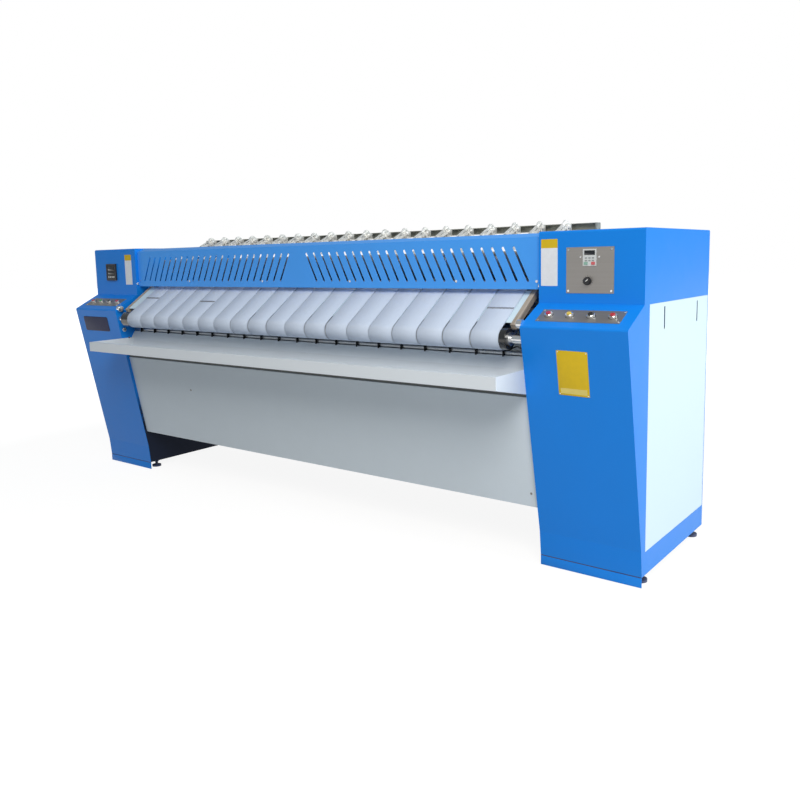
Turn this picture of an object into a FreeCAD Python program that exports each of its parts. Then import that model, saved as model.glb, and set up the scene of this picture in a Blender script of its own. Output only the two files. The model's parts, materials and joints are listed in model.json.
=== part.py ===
"""Flatwork ironer: two cabinets, a belt feed table, a heated roll wrapped by ironing belts, and a trough.

Millimetres. X runs along the machine, Z is up. While a piece is built, Y is measured backwards from the
front toe plates; every finished node is then moved so that the origin is the middle of the footprint.
"""
import FreeCAD, Part
import math
import os

os.makedirs("parts", exist_ok=True)

# ---------------------------------------------------------------- driving dimensions
working_width = 2560.0        # between the inner faces of the two side frames
cabinet_width = 405.0
cabinet_depth = 696.0         # toe plate to rear wall
cabinet_height = 1290.0
sheet = 2.0                   # cabinet sheet metal
fold_radius = 9.0
fit_gap = 0.3                 # between pieces that sit together without touching
bearing_gap = 0.05            # radial, shaft in bearing

toe_height = 39.0             # the toe plate reaches the floor, the side skirt stops here
kink_height = 137.0
kink_reach = 9.0
box_height = 264.0            # the upper box, above the deck's back edge
box_reach = 18.0              # the upper box's front, in front of the toe plane
deck_run = 148.0              # the sloping deck, front to back
deck_rise = 76.0

frame_plate = 10.0            # side frame plates
panel_low = 127.0             # service panel
panel_drop = 264.0            # from the cabinet's top to the panel's
panel_front = 30.0
panel_rear_margin = 6.0
panel_depth = 20.0
panel_sheet = 1.5
panel_gap = 0.6
seat_ledge = 20.0              # that the panel sits on, all round
mitre_depth = 15.0             # how deep the sheets' mitred corners are cut, past the folds
slot_width = 12.0             # hand slots in the service panel
slot_height = 82.0
slot_drop = 16.0              # from the panel's top edge
slot_front_inset = 151.0
slot_rear_inset = 135.0

roll_front = 46.0             # the heated roll's front, behind the toe plates
roll_rear_gap = 50.0          # between the roll and the cabinets' rear
roll_drop = 490.0             # from the cabinets' top to the roll's axis
roll_side_gap = 37.0          # between the roll's ends and the side frames
roll_wall = 12.0
roll_end_thickness = 15.0
journal_radius = 50.0
journal_bore = 36.0
journal_tail = 30.0           # beyond the pulley on each journal

feed_angle = 133.0            # place of the rear feed roller round the heated roll, degrees
feed_gap = 15.7               # between the feed belts and the heated roll
feed_tube_radius = 40.0
feed_shaft_radius = 14.0
table_slope = 35.0            # degrees
table_length = 285.0          # between the two feed rollers
feed_belt_thickness = 3.0
feed_belt_width = 119.0
belt_pitch = 123.7
belt_margin = 190.0           # of the width between the side frames that no belts cover
feed_belts_centre = 20.0
feed_bed_gap = 61.0           # between the feed bed and a side frame
rail_width = 22.0

iron_belt_thickness = 4.0
iron_belt_width = 98.0
tension_row_centre = -26.0
belt_roller_radius = 30.0
top_roller_radius = 34.0
tension_roller_radius = 28.0
exit_angle = 184.65           # place of the exit roller round the heated roll, degrees
exit_gap = 15.1
low_roller_drop = 50.0        # of the two low rollers' axes below the heated roll
low_roller_rear_gap = 44.0
top_roller_rear_gap = 48.0
top_roller_drop = 112.0       # below the cabinets' top
tension_roller_inset = 74.0   # behind the heated roll's front
tension_roller_drop = 100.0
belt_roller_gap = 35.0        # between the rollers' tubes and a side frame
belt_shaft_radius = 12.0
tension_shaft_radius = 8.0

pivot_rise = 32.0             # above the cabinets' top
pivot_reach = 1.0             # from the hub wheels to the bar
pivot_pin_radius = 5.0
hub_radius = 28.0
arm_height = 14.0
arm_plate = 3.0
arm_half_gap = 7.0            # from the arm's middle plane to the inside of each flat bar
ear_plate = 3.0
spring_arm = 70.0             # from the pivot to the spring, along Y
shelf_drop = 66.0             # from the pivot down to the shelf under the spring
spring_radius = 7.0
spring_wire = 2.2
spring_turns = 5
bar_rear_gap = 197.0          # from the bar's front to the cabinets' rear
bar_rise = 15.0
bar_height = 30.0
bar_depth = 30.0
bar_wall = 3.0

cover_drop = 18.0             # from the cabinets' top to the cover's
cover_height = 196.0
cover_sheet = 1.5
cover_flange_y = 42.0
cover_flange_rise = 14.0
vent_pitch = 48.0
rear_cover_drop = 54.0         # from the front cover's top to the rear covers'
rear_cover_foot = 10.0         # above the rear beam's axis
vent_first = 57.0             # from the middle to the top of the first slot
vent_low_inset = 28.0
vent_high_inset = 34.0
vent_side_gap = 40.0
vent_lean = 65.0              # how far the slot's foot stands outside its top
vent_width = 10.0
rear_vent_low = 170.0          # from the rear covers' foot to the first row of slots
rear_vent_high = 218.0         # from their top to the second group
rear_vent_rise = 30.0
rear_vent_first = 130.0
rear_vent_pitch = 95.0
rear_vent_half = 35.0
cover_screw_inset = 30.0
cover_screw_pitch = 572.0
cover_screw_offset = 41.0

trough_reach = 334.0
lip_drop = 62.0               # from the heated roll's axis to the lip's lower edge
lip_height = 49.0
lip_depth = 20.0
trough_sheet = 2.0
trough_floor_y = -100.0
trough_floor_drop = 110.0
trough_wall_y = -58.0
trough_wall_drop = 24.0
trough_top_y = -50.0
trough_top_rise = 22.0
end_plate = 3.0

front_panel_low_y = -11.0
front_panel_low_z = 230.0
front_panel_step = 4.0        # behind the trough's lowest edge
front_panel_drop = 12.0       # below it
front_panel_sheet = 1.5

finger_bar_reach = 91.0       # in front of the heated roll
finger_bar_rise = 35.0        # above its axis
finger_bar_radius = 8.0
finger_width = 4.0
finger_clearance = 1.5        # between a finger's tip and the heated roll

button_pitch = 81.0
button_station = 80.0         # along the deck from its front edge
button_radius = 9.0
button_proud = 3.5
button_length = 38.0
bezel_radius = 15.0
bezel_height = 10.0
neck_radius = 11.0
neck_length = 30.0
deck_plate_length = 317.0
deck_plate_width = 80.0
deck_plate_sheet = 1.5

instrument_width = 182.0
instrument_height = 165.0
instrument_rise = 38.0        # above the deck's back edge
instrument_sheet = 1.5
keypad_width = 51.0
keypad_height = 60.0
keypad_rise = 98.0            # above the instrument plate's lower edge
keypad_proud = 3.0
keypad_depth = 22.0
keypad_rim = 2.0
display_height = 17.0
display_inset = 5.0
key_width = 14.0
key_height = 10.0
key_rise = 9.0                # of the keys' middle above the keypad's lower edge
key_offset = 14.0
key_proud = 1.6
knob_offset = 7.5             # from the plate's middle, towards the machine's
knob_rise = 44.0
knob_turn = 50.0              # where the pointer stands at rest, degrees clockwise from the top
knob_radius = 15.0
knob_height = 15.0
knob_shaft_radius = 3.0
knob_hole_radius = 9.0
controller_offset = 33.5      # from the cabinet's middle, outwards
controller_rise = 132.0
controller_size = 96.0
controller_body = 90.0
controller_proud = 9.0
controller_depth = 70.0

base_tube = 50.0
base_low = 40.0
base_front_y = 40.0
base_rear_gap = 26.0
foot_radius = 26.0
foot_pad = 10.0
foot_stud_radius = 8.0
beam_size = 60.0
feed_beam_half = 18.0         # half the width of the square tube under the feed bed
front_beam_y = 40.0
front_beam_z = 250.0
rear_beam_gap = 136.0
rear_beam_z = 120.0

gearbox_gap = 30.0            # from the side frame's inner face
gearbox_width = 120.0
gearbox_y = (180.0, 330.0)
gearbox_z = (98.0, 318.0)
output_y = 255.0
output_z = 245.0
output_radius = 15.0
motor_radius = 70.0
motor_end_y = 560.0
motor_pulley_radius = 48.0
roll_pulley_radius = 160.0
drive_pulley_offset = 230.0   # from the side frame's inner face
drive_pulley_width = 40.0
drive_belt_thickness = 8.0
heater_tube_radius = 9.0
heater_tube_gap = 143.0       # from the roll's ends
heater_inset = 60.0           # of the plates that hold the tubes, from the roll's skin
feed_pulley_offset = 105.0
feed_pulley_width = 24.0
feed_drive_radius = 150.0
feed_belt_drive_thickness = 5.0

gland_z = 250.0
gland_radius = 20.0
gland_bore = 10.0
gland_reach = 18.0
gland_inside = 22.0

# ---------------------------------------------------------------- sizes that follow
inner = working_width / 2
outer = inner + cabinet_width
cabinet_middle = inner + cabinet_width / 2
deck_back_height = cabinet_height - box_height
deck_front_height = deck_back_height - deck_rise
deck_front_reach = box_reach + deck_run
deck_slope = math.atan2(deck_rise, deck_run)
panel_high = cabinet_height - panel_drop
panel_rear = cabinet_depth - panel_rear_margin
slot_high = panel_high - slot_drop
slot_low = slot_high - slot_height
slot_ys = (panel_front + slot_front_inset, panel_rear - slot_rear_inset)

roll_radius = (cabinet_depth - roll_rear_gap - roll_front) / 2
roll_y = roll_front + roll_radius
roll_z = cabinet_height - roll_drop
roll_length = working_width - 2 * roll_side_gap
drive_pulley_x = inner + drive_pulley_offset
feed_pulley_x = -(inner + feed_pulley_offset)
journal_right_end = drive_pulley_x + drive_pulley_width / 2 + journal_tail
journal_left_end = -feed_pulley_x + feed_pulley_width / 2 + journal_tail


def round_roll(angle, distance):
    """(y, z) at an angle round the heated roll's axis, in degrees from straight back."""
    turn = math.radians(angle)
    return roll_y + distance * math.cos(turn), roll_z + distance * math.sin(turn)


slope = math.radians(table_slope)
feed_radius = feed_tube_radius + feed_belt_thickness
rear_feed_y, rear_feed_z = round_roll(feed_angle, roll_radius + feed_radius + feed_gap)
nose_y = rear_feed_y - table_length * math.cos(slope)
nose_z = rear_feed_z - table_length * math.sin(slope)
feed_bed_half = inner - feed_bed_gap
belt_count = int((working_width - belt_margin) / belt_pitch)

low_roller_z = roll_z - roll_radius - low_roller_drop
exit_y, exit_z = round_roll(exit_angle, roll_radius + belt_roller_radius + exit_gap)
exit_roller = (exit_y, exit_z, belt_roller_radius)          # y, z, radius
front_low_roller = (roll_front, low_roller_z, belt_roller_radius)
rear_low_roller = (cabinet_depth - low_roller_rear_gap, low_roller_z, belt_roller_radius)
rear_top_roller = (cabinet_depth - top_roller_rear_gap, cabinet_height - top_roller_drop, top_roller_radius)
tension_roller = (roll_front + tension_roller_inset, cabinet_height - tension_roller_drop,
                  tension_roller_radius)
belt_roller_half = inner - belt_roller_gap

bar_y = cabinet_depth - bar_rear_gap
bar_low = cabinet_height + bar_rise
bar_high = bar_low + bar_height
pivot_y = bar_y - pivot_reach - hub_radius
pivot_z = cabinet_height + pivot_rise

cover_half = inner - fit_gap
cover_high = cabinet_height - cover_drop
cover_low = cover_high - cover_height
vent_low = cover_low + vent_low_inset
vent_high = cover_high - vent_high_inset
vent_count = 1 + int((cover_half - vent_side_gap - vent_lean - vent_first) / vent_pitch)

lip_low = roll_z - lip_drop
lip_high = lip_low + lip_height
trough_floor_z = roll_z - trough_floor_drop
trough_wall_z = roll_z - trough_wall_drop
trough_top_z = roll_z + trough_top_rise
front_panel_high_y = trough_floor_y + front_panel_step
front_panel_high_z = trough_floor_z - front_panel_drop
finger_bar_y = roll_front - finger_bar_reach
finger_bar_z = roll_z + finger_bar_rise

instrument_x = cabinet_middle
instrument_low = deck_back_height + instrument_rise
instrument_high = instrument_low + instrument_height
keypad_low = instrument_low + keypad_rise
keypad_high = keypad_low + keypad_height
display_high = keypad_high - display_inset
display_low = display_high - display_height
key_z = keypad_low + key_rise
knob_x = instrument_x - knob_offset
knob_z = instrument_low + knob_rise
controller_x = -(cabinet_middle + controller_offset)
controller_z = deck_back_height + controller_rise

base_rear_y = cabinet_depth - base_rear_gap
rear_beam_y = cabinet_depth - rear_beam_gap
gearbox_x = (inner + gearbox_gap, inner + gearbox_gap + gearbox_width)
gland_x = -cabinet_middle
heater_plate_radius = roll_radius - heater_inset
heater_half = roll_length / 2 - heater_tube_gap
middle_y = (cabinet_depth + gland_reach - trough_reach) / 2

nodes = {}


# ---------------------------------------------------------------- building blocks
def vec(x, y, z):
    return FreeCAD.Vector(x, y, z)


def block(x0, x1, y0, y1, z0, z1):
    """Box between two corners, in any order."""
    xs, ys, zs = sorted((x0, x1)), sorted((y0, y1)), sorted((z0, z1))
    size = (xs[1] - xs[0], ys[1] - ys[0], zs[1] - zs[0])
    return Part.makeBox(*size, vec(xs[0], ys[0], zs[0]))


def rod(radius, x0, x1, y, z):
    """Round bar along X."""
    low, high = sorted((x0, x1))
    return Part.makeCylinder(radius, high - low, vec(low, y, z), vec(1, 0, 0))


def post(radius, x, y, z0, z1):
    """Round bar along Z."""
    return Part.makeCylinder(radius, z1 - z0, vec(x, y, z0), vec(0, 0, 1))


def pipe(outside, inside, x0, x1, y, z):
    """Round tube along X."""
    low, high = sorted((x0, x1))
    return rod(outside, low, high, y, z).cut(rod(inside, low - 1, high + 1, y, z))


def prism(points, x0, x1):
    """Closed outline of (y, z) points, extruded between two X values."""
    low, high = sorted((x0, x1))
    loop = [vec(low, y, z) for y, z in points]
    face = Part.Face(Part.makePolygon(loop + [loop[0]]))
    return face.extrude(vec(high - low, 0, 0))


def shifted_lines(points, distance, closed):
    """The outline's points after each of its edges moves sideways by distance, to its left."""
    count = len(points)
    edges = []
    for i in range(count if closed else count - 1):
        (y0, z0), (y1, z1) = points[i], points[(i + 1) % count]
        length = math.hypot(y1 - y0, z1 - z0)
        ny, nz = -(z1 - z0) / length, (y1 - y0) / length
        edges.append((y0 + ny * distance, z0 + nz * distance, (y1 - y0) / length, (z1 - z0) / length))
    moved = []
    for i in range(count):
        if closed or 0 < i < count - 1:
            moved.append(crossing(edges[i - 1], edges[i % len(edges)]))
        elif i == 0:
            moved.append(edges[0][:2])
        else:
            y, z, dy, dz = edges[-1]
            length = math.hypot(points[-1][0] - points[-2][0], points[-1][1] - points[-2][1])
            moved.append((y + dy * length, z + dz * length))
    return moved


def crossing(first, second):
    """Where two lines, each (y, z, dy, dz), cross."""
    y0, z0, dy0, dz0 = first
    y1, z1, dy1, dz1 = second
    determinant = dy0 * dz1 - dz0 * dy1
    step = ((y1 - y0) * dz1 - (z1 - z0) * dy1) / determinant
    return (y0 + dy0 * step, z0 + dz0 * step)


def folded(points, thickness, x0, x1):
    """Sheet folded along a line of (y, z) points, with the sheet on the line's left."""
    return prism(points + shifted_lines(points, thickness, False)[::-1], x0, x1)


def rounded(shape, radius, wanted):
    """Fillets the edges along X whose (y, z) place is near one of the wanted points."""
    chosen = []
    for edge in shape.Edges:
        a, b = edge.Vertexes[0].Point, edge.Vertexes[-1].Point
        along_x = abs(a.y - b.y) < 0.01 and abs(a.z - b.z) < 0.01
        if along_x and any(math.hypot(a.y - y, a.z - z) < 0.1 for y, z in wanted):
            chosen.append(edge)
    return shape.makeFillet(radius, chosen)


def tangent(first, second):
    """Ends of the belt line from one circle to the next. A circle is (y, z, radius), radius negative
    where the belt runs round it the other way."""
    y0, z0, r0 = first
    y1, z1, r1 = second
    dy, dz = y1 - y0, z1 - z0
    distance = math.hypot(dy, dz)
    heading = math.atan2(dz, dy)
    side = heading + math.acos((r0 - r1) / distance)
    ny, nz = math.cos(side), math.sin(side)
    return (y0 + r0 * ny, z0 + r0 * nz), (y1 + r1 * ny, z1 + r1 * nz)


def belt_wire(circles, x):
    """Closed belt line, run clockwise seen from +X, round circles given in that order."""
    count = len(circles)
    runs = [tangent(circles[i], circles[(i + 1) % count]) for i in range(count)]
    edges = []
    for i in range(count):
        start, end = runs[i]
        edges.append(Part.LineSegment(vec(x, *start), vec(x, *end)).toShape())
        y, z, radius = circles[(i + 1) % count]
        leave = runs[(i + 1) % count][0]
        from_angle = math.atan2(end[1] - z, end[0] - y)
        to_angle = math.atan2(leave[1] - z, leave[0] - y)
        sweep = (from_angle - to_angle) % (2 * math.pi)
        if radius < 0:
            sweep -= 2 * math.pi
        middle = from_angle - sweep / 2
        bulge = (y + abs(radius) * math.cos(middle), z + abs(radius) * math.sin(middle))
        edges.append(Part.Arc(vec(x, *end), vec(x, *bulge), vec(x, *leave)).toShape())
    return Part.Wire(edges)


def belt(circles, thickness, x0, x1, gap=fit_gap):
    """Endless flat belt round pulleys (y, z, radius), negative where its outer face bears on the roll."""
    low, high = sorted((x0, x1))
    inside = [(y, z, r + gap if r > 0 else r - gap - thickness) for y, z, r in circles]
    outside = [(y, z, r + gap + thickness if r > 0 else r - gap) for y, z, r in circles]
    faces = [Part.Face(belt_wire(ring, low)) for ring in (outside, inside)]
    return faces[0].extrude(vec(high - low, 0, 0)).cut(faces[1].extrude(vec(high - low, 0, 0)))


def deck_point(station, height):
    """(y, z) on the deck: station back from its front edge, height square to it."""
    along, up = math.cos(deck_slope), math.sin(deck_slope)
    return (-deck_front_reach + station * along - height * up,
            deck_front_height + station * up + height * along)


def deck_rod(radius, x, station, low, high):
    """Round bar square to the deck, from one height above it to another."""
    base = deck_point(station, low)
    return Part.makeCylinder(radius, high - low, vec(x, *base),
                             vec(0, -math.sin(deck_slope), math.cos(deck_slope)))


def deck_block(x0, x1, s0, s1, h0, h1):
    """Box lying square to the deck."""
    corners = [deck_point(s0, h0), deck_point(s1, h0), deck_point(s1, h1), deck_point(s0, h1)]
    return prism(corners, x0, x1)


def front_rod(radius, x, z, y0, y1):
    """Round bar along Y."""
    return Part.makeCylinder(radius, y1 - y0, vec(x, y0, z), vec(0, 1, 0))


def keypad_block(grow, y0, y1):
    """The keypad's body, that much larger all round, between two depths."""
    half = keypad_width / 2 - keypad_rim + grow
    low, high = keypad_low + keypad_rim - grow, keypad_high - keypad_rim + grow
    return block(instrument_x - half, instrument_x + half, y0, y1, low, high)


def fused(shapes):
    whole = shapes[0].fuse(shapes[1:]) if len(shapes) > 1 else shapes[0]
    return whole.removeSplitter()


def keep(name, *shapes):
    """Stores a node: one solid, or a group of separate like solids."""
    solids = []
    for shape in shapes:
        solids += shape.Solids
    nodes[name] = solids


# ---------------------------------------------------------------- cabinets
cabinet_outline = [
    (0.0, toe_height),
    (cabinet_depth, toe_height),
    (cabinet_depth, cabinet_height),
    (-box_reach, cabinet_height),
    (-box_reach, deck_back_height),
    (-deck_front_reach, deck_front_height),
    (-kink_reach, kink_height),
]
button_xs = [cabinet_middle + (i - 1.5) * button_pitch for i in range(4)]


def frame_holes():
    """(y, z, radius) of every hole that both side frames have."""
    rollers = (exit_roller, front_low_roller, rear_low_roller, rear_top_roller)
    holes = [(y, z, belt_shaft_radius + 1.5) for y, z, _ in rollers]
    holes.append((nose_y, nose_z, feed_shaft_radius + 1.5))
    holes.append((rear_feed_y, rear_feed_z, feed_shaft_radius + 1.5))
    holes.append((roll_y, roll_z, journal_radius + 12))
    return holes


def side_frame(side):
    inset = shifted_lines(cabinet_outline, sheet + fit_gap, True)
    inset[0] = (inset[0][0], toe_height + sheet)
    inset[1] = (inset[1][0], toe_height + sheet)
    plate = prism(inset, side * inner, side * (inner + frame_plate))
    plate = rounded(plate, fold_radius - sheet - fit_gap, [inset[2], inset[3], inset[5]])
    for y, z, radius in frame_holes():
        plate = plate.cut(rod(radius, side * (inner - 1), side * (inner + frame_plate + 1), y, z))
    return plate


def service_seat(side):
    """Strips welded behind the service opening: four walls round it and the ledge under the panel."""
    face, skin = outer - panel_depth, outer - sheet
    back = face - sheet
    front, rear = panel_front + seat_ledge, panel_rear - seat_ledge
    strips = [
        (back, skin, panel_front - sheet, panel_front, panel_low - sheet, panel_high + sheet),
        (back, skin, panel_rear, panel_rear + sheet, panel_low - sheet, panel_high + sheet),
        (back, skin, panel_front, panel_rear, panel_low - sheet, panel_low),
        (back, skin, panel_front, panel_rear, panel_high, panel_high + sheet),
        (back, face, panel_front, front, panel_low, panel_high),
        (back, face, rear, panel_rear, panel_low, panel_high),
        (back, face, front, rear, panel_low, panel_low + seat_ledge),
        (back, face, front, rear, panel_high - seat_ledge, panel_high),
    ]
    return [block(side * x0, side * x1, *rest) for x0, x1, *rest in strips]


def folded_shell(side):
    """The cabinet's outer sheets in one piece, with every opening that is cut into them."""
    folds = [(-box_reach, cabinet_height), (-deck_front_reach, deck_front_height),
             (cabinet_depth, cabinet_height)]
    body = rounded(prism(cabinet_outline, side * inner, side * outer), fold_radius, folds)
    hollow = shifted_lines(cabinet_outline, sheet, True)
    inner_folds = [hollow[3], hollow[5], hollow[2]]
    (foot_y, foot_z), (kink_y, kink_z) = hollow[0], hollow[-1]
    hollow[0] = (foot_y + (foot_y - kink_y) * foot_z / (kink_z - foot_z), 0.0)
    hollow[1] = (hollow[1][0], 0.0)
    cavity = rounded(prism(hollow, side * (inner - 1), side * (outer - sheet)),
                     fold_radius - sheet, inner_folds)
    shell = body.cut(cavity)
    cutouts = [block(side * (outer - sheet - 1), side * (outer + 1), panel_front, panel_rear, panel_low,
                     panel_high)]
    cutouts += [deck_rod(neck_radius + 0.2, side * x, button_station, -10, 10) for x in button_xs]
    box_faces = (-box_reach - 1, -box_reach + sheet + 1)
    if side > 0:
        cutouts.append(keypad_block(fit_gap + 1, *box_faces))
        cutouts.append(front_rod(knob_hole_radius, knob_x, knob_z, *box_faces))
    else:
        half = controller_body / 2 + 0.5
        cutouts.append(block(controller_x - half, controller_x + half, *box_faces, controller_z - half,
                             controller_z + half))
        cutouts.append(front_rod(gland_radius * 0.6, gland_x, gland_z, cabinet_depth - sheet - 1,
                                 cabinet_depth + 1))
    for cutout in cutouts:
        shell = shell.cut(cutout)
    return shell


def cabinet_shell(side):
    """The shell as its welded sheets: one for each face, mitred at the folds, and the panel's seat."""
    shell, skin = folded_shell(side), outer - sheet
    outside = shifted_lines(cabinet_outline, -1.0, True)
    inside = shifted_lines(cabinet_outline, mitre_depth, True)
    for i in (0, 1):
        inside[i] = (inside[i][0], outside[i][1])
    sheets = []
    for i in range(1, len(cabinet_outline)):
        following = (i + 1) % len(cabinet_outline)
        corners = [outside[i], outside[following], inside[following], inside[i]]
        sheets.append(shell.common(prism(corners, side * (inner - 1), side * skin)))
    toe_plate = block(side * inner, side * outer, 0, sheet, 0, toe_height)
    sheets.append(fused([sheets.pop(), toe_plate]))
    for low, high in ((0, panel_high), (panel_high, cabinet_height + 1)):
        sheets.append(shell.common(block(side * skin, side * (outer + 1), -deck_front_reach - 1,
                                         cabinet_depth + 1, low, high)))
    return Part.makeCompound(sheets + service_seat(side))


def service_panel(side):
    low, high = panel_low + panel_gap, panel_high - panel_gap
    front, rear = panel_front + panel_gap, panel_rear - panel_gap
    tray = block(side * (outer - panel_depth + fit_gap), side * outer, front, rear, low, high)
    tray = tray.cut(block(side * (outer - panel_depth - 1), side * (outer - panel_sheet),
                          front + panel_sheet, rear - panel_sheet, low + panel_sheet, high - panel_sheet))
    for y in slot_ys:
        tray = tray.cut(block(side * (outer - 5), side * (outer + 1), y - slot_width / 2,
                              y + slot_width / 2, slot_low, slot_high))
    return tray


def base_frame(side):
    """Ladder of square tube under a cabinet."""
    x0, x1 = base_xs()
    top = base_low + base_tube
    y0, y1 = base_front_y, base_rear_y
    bars = [
        block(side * x0, side * (x0 + base_tube), y0, y1, base_low, top),
        block(side * (x1 - base_tube), side * x1, y0, y1, base_low, top),
        block(side * x0, side * x1, y0, y0 + base_tube, base_low, top),
        block(side * x0, side * x1, y1 - base_tube, y1, base_low, top),
    ]
    ladder = fused(bars)
    for x in foot_xs():
        for y in foot_ys():
            ladder = ladder.cut(post(foot_stud_radius + fit_gap, side * x, y, base_low - 1, top + 1))
    return ladder


def motor_plate():
    top = base_low + base_tube
    return block(inner + frame_plate + 2, outer - 10, gearbox_y[0] - 20, motor_end_y + 20, top,
                 gearbox_z[0])


def base_xs():
    return (inner + frame_plate, outer - sheet - fit_gap)


def foot_xs():
    return (base_xs()[0] + base_tube / 2 + 3, base_xs()[1] - base_tube / 2 - 3)


def foot_ys():
    return (base_front_y + base_tube / 2, base_rear_y - base_tube / 2)


def foot(x, y):
    """Levelling foot: pad on the floor, nut under the tube, stud through it."""
    pad = post(foot_radius, x, y, 0, foot_pad)
    nut = post(foot_stud_radius * 1.6, x, y, base_low - 12, base_low)
    stud = post(foot_stud_radius, x, y, foot_pad - 1, base_low + base_tube + 14)
    return fused([pad, nut, stud])


def cross_beam(y, z, size):
    tube = block(-inner, inner, y, y + size, z, z + size)
    wall = 4.0
    return tube.cut(block(-inner - 1, inner + 1, y + wall, y + size - wall, z + wall, z + size - wall))


def feed_beam():
    """Square tube between the side frames that carries the feed bed, square to the table."""
    half = feed_beam_half
    y = nose_y + table_length / 2 * math.cos(slope)
    z = nose_z + table_length / 2 * math.sin(slope)
    tube = block(-inner, inner, -half, half, -half, half)
    tube = tube.cut(block(-inner - 1, inner + 1, -half + 3, half - 3, -half + 3, half - 3))
    tube.rotate(vec(0, 0, 0), vec(1, 0, 0), table_slope)
    tube.translate(vec(0, y, z))
    return tube


keep("left_side_frame", side_frame(-1))
keep("right_side_frame", side_frame(1))
keep("left_cabinet_shell", cabinet_shell(-1))
keep("right_cabinet_shell", cabinet_shell(1))
keep("left_service_panel", service_panel(-1))
keep("right_service_panel", service_panel(1))
keep("base_frames", base_frame(-1), base_frame(1), motor_plate())
keep("levelling_feet", *[foot(side * x, y) for side in (-1, 1) for x in foot_xs() for y in foot_ys()])
keep("cross_beams", cross_beam(front_beam_y, front_beam_z, beam_size),
     cross_beam(rear_beam_y, rear_beam_z, beam_size), feed_beam())


# ---------------------------------------------------------------- trough and front panels
def trough_pan():
    line = [
        (-trough_reach + lip_depth, lip_high - 14),
        (-trough_reach + lip_depth, lip_high),
        (-trough_reach, lip_high),
        (-trough_reach, lip_low),
        (trough_floor_y, trough_floor_z),
        (trough_wall_y, trough_wall_z),
        (trough_top_y, trough_top_z),
        (trough_top_y + 14, trough_top_z),
    ]
    half = inner - end_plate
    return folded(line, trough_sheet, -half, half)


def trough_end(side):
    outline = [
        (-trough_reach, lip_low),
        (-trough_reach, lip_high),
        (trough_wall_y - 14, lip_high + 2),
        (trough_top_y - 2, trough_top_z),
        (trough_top_y, trough_top_z),
        (trough_wall_y, trough_wall_z),
        (trough_floor_y, trough_floor_z),
    ]
    return prism(outline, side * (inner - end_plate), side * inner)


def lower_front_panel():
    line = [
        (front_panel_low_y + 18, front_panel_low_z + 3),
        (front_panel_low_y, front_panel_low_z),
        (front_panel_high_y, front_panel_high_z),
        (front_panel_high_y + 18, front_panel_high_z + 3),
    ]
    half = inner - fit_gap
    return folded(line[::-1], front_panel_sheet, -half, half)


def vent_slot(x_top, x_foot):
    """Slanted slot with round ends, cut through the cover's face."""
    depth = cover_sheet + 2
    dx, dz = x_foot - x_top, vent_low - vent_high
    length = math.hypot(dx, dz) - vent_width
    angle = math.degrees(math.atan2(dx, -dz))
    slot = block(-vent_width / 2, vent_width / 2, -1, depth - 1, -length / 2, length / 2)
    ends = [front_rod(vent_width / 2, 0, z, -1, depth - 1) for z in (-length / 2, length / 2)]
    slot = slot.fuse(ends)
    slot.rotate(vec(0, 0, 0), vec(0, 1, 0), -angle)
    slot.translate(vec((x_top + x_foot) / 2, 0, (vent_low + vent_high) / 2))
    return slot


def front_cover():
    line = [
        (cover_flange_y, cover_high + cover_flange_rise),
        (0.0, cover_high),
        (0.0, cover_low),
        (22.0, cover_low),
    ]
    cover = folded(line, cover_sheet, -cover_half, cover_half)
    slots = []
    for side in (-1, 1):
        for i in range(vent_count):
            x = vent_first + i * vent_pitch
            slots.append(vent_slot(side * x, side * (x + vent_lean)))
    tabs = [block(side * (cover_half - cover_sheet), side * cover_half, 0, 24, cover_low + 10,
                  cover_high - 10) for side in (-1, 1)]
    return cover.fuse(tabs).removeSplitter().cut(Part.makeCompound(slots))


def rear_cover(side):
    """Half of the rear wall between the cabinets, with rows of vent slots."""
    y0, y1 = cabinet_depth - cover_sheet, cabinet_depth
    low, high = rear_beam_z + rear_cover_foot, cover_high - rear_cover_drop
    edges = sorted((side * 0.5, side * (inner - fit_gap)))
    plate = block(*edges, y0, y1, low, high)
    flange = block(*edges, y0 - 6, y1, low, low + cover_sheet)
    slots = []
    for first in (low + rear_vent_low, high - rear_vent_high):
        for z in (first, first + rear_vent_rise, first + 2 * rear_vent_rise):
            for i in range(1 + int((inner - 2 * rear_vent_pitch) / rear_vent_pitch)):
                x = side * (rear_vent_first + i * rear_vent_pitch)
                slots.append(block(x - rear_vent_half, x + rear_vent_half, y0 - 1, y1 + 1, z - 4, z + 4))
    return plate.fuse(flange).removeSplitter().cut(Part.makeCompound(slots))


keep("trough", trough_pan())
keep("trough_end_plates", trough_end(-1), trough_end(1))
keep("lower_front_panel", lower_front_panel())
keep("front_cover", front_cover())
keep("rear_covers", rear_cover(-1), rear_cover(1))


# ---------------------------------------------------------------- feed table
def roller(y, z, radius, tube_half, shaft_radius, shaft_end):
    """Tube with closed ends on a through shaft: a steel tube, two end discs and the shaft as one."""
    wall = 5.0
    disc = 8.0
    tube = pipe(radius, radius - wall, -tube_half, tube_half, y, z)
    discs = [rod(radius - wall / 2, side * (tube_half - disc), side * tube_half, y, z)
             for side in (-1, 1)]
    shaft = rod(shaft_radius, -shaft_end, shaft_end, y, z)
    return fused([tube, shaft] + discs)


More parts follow.
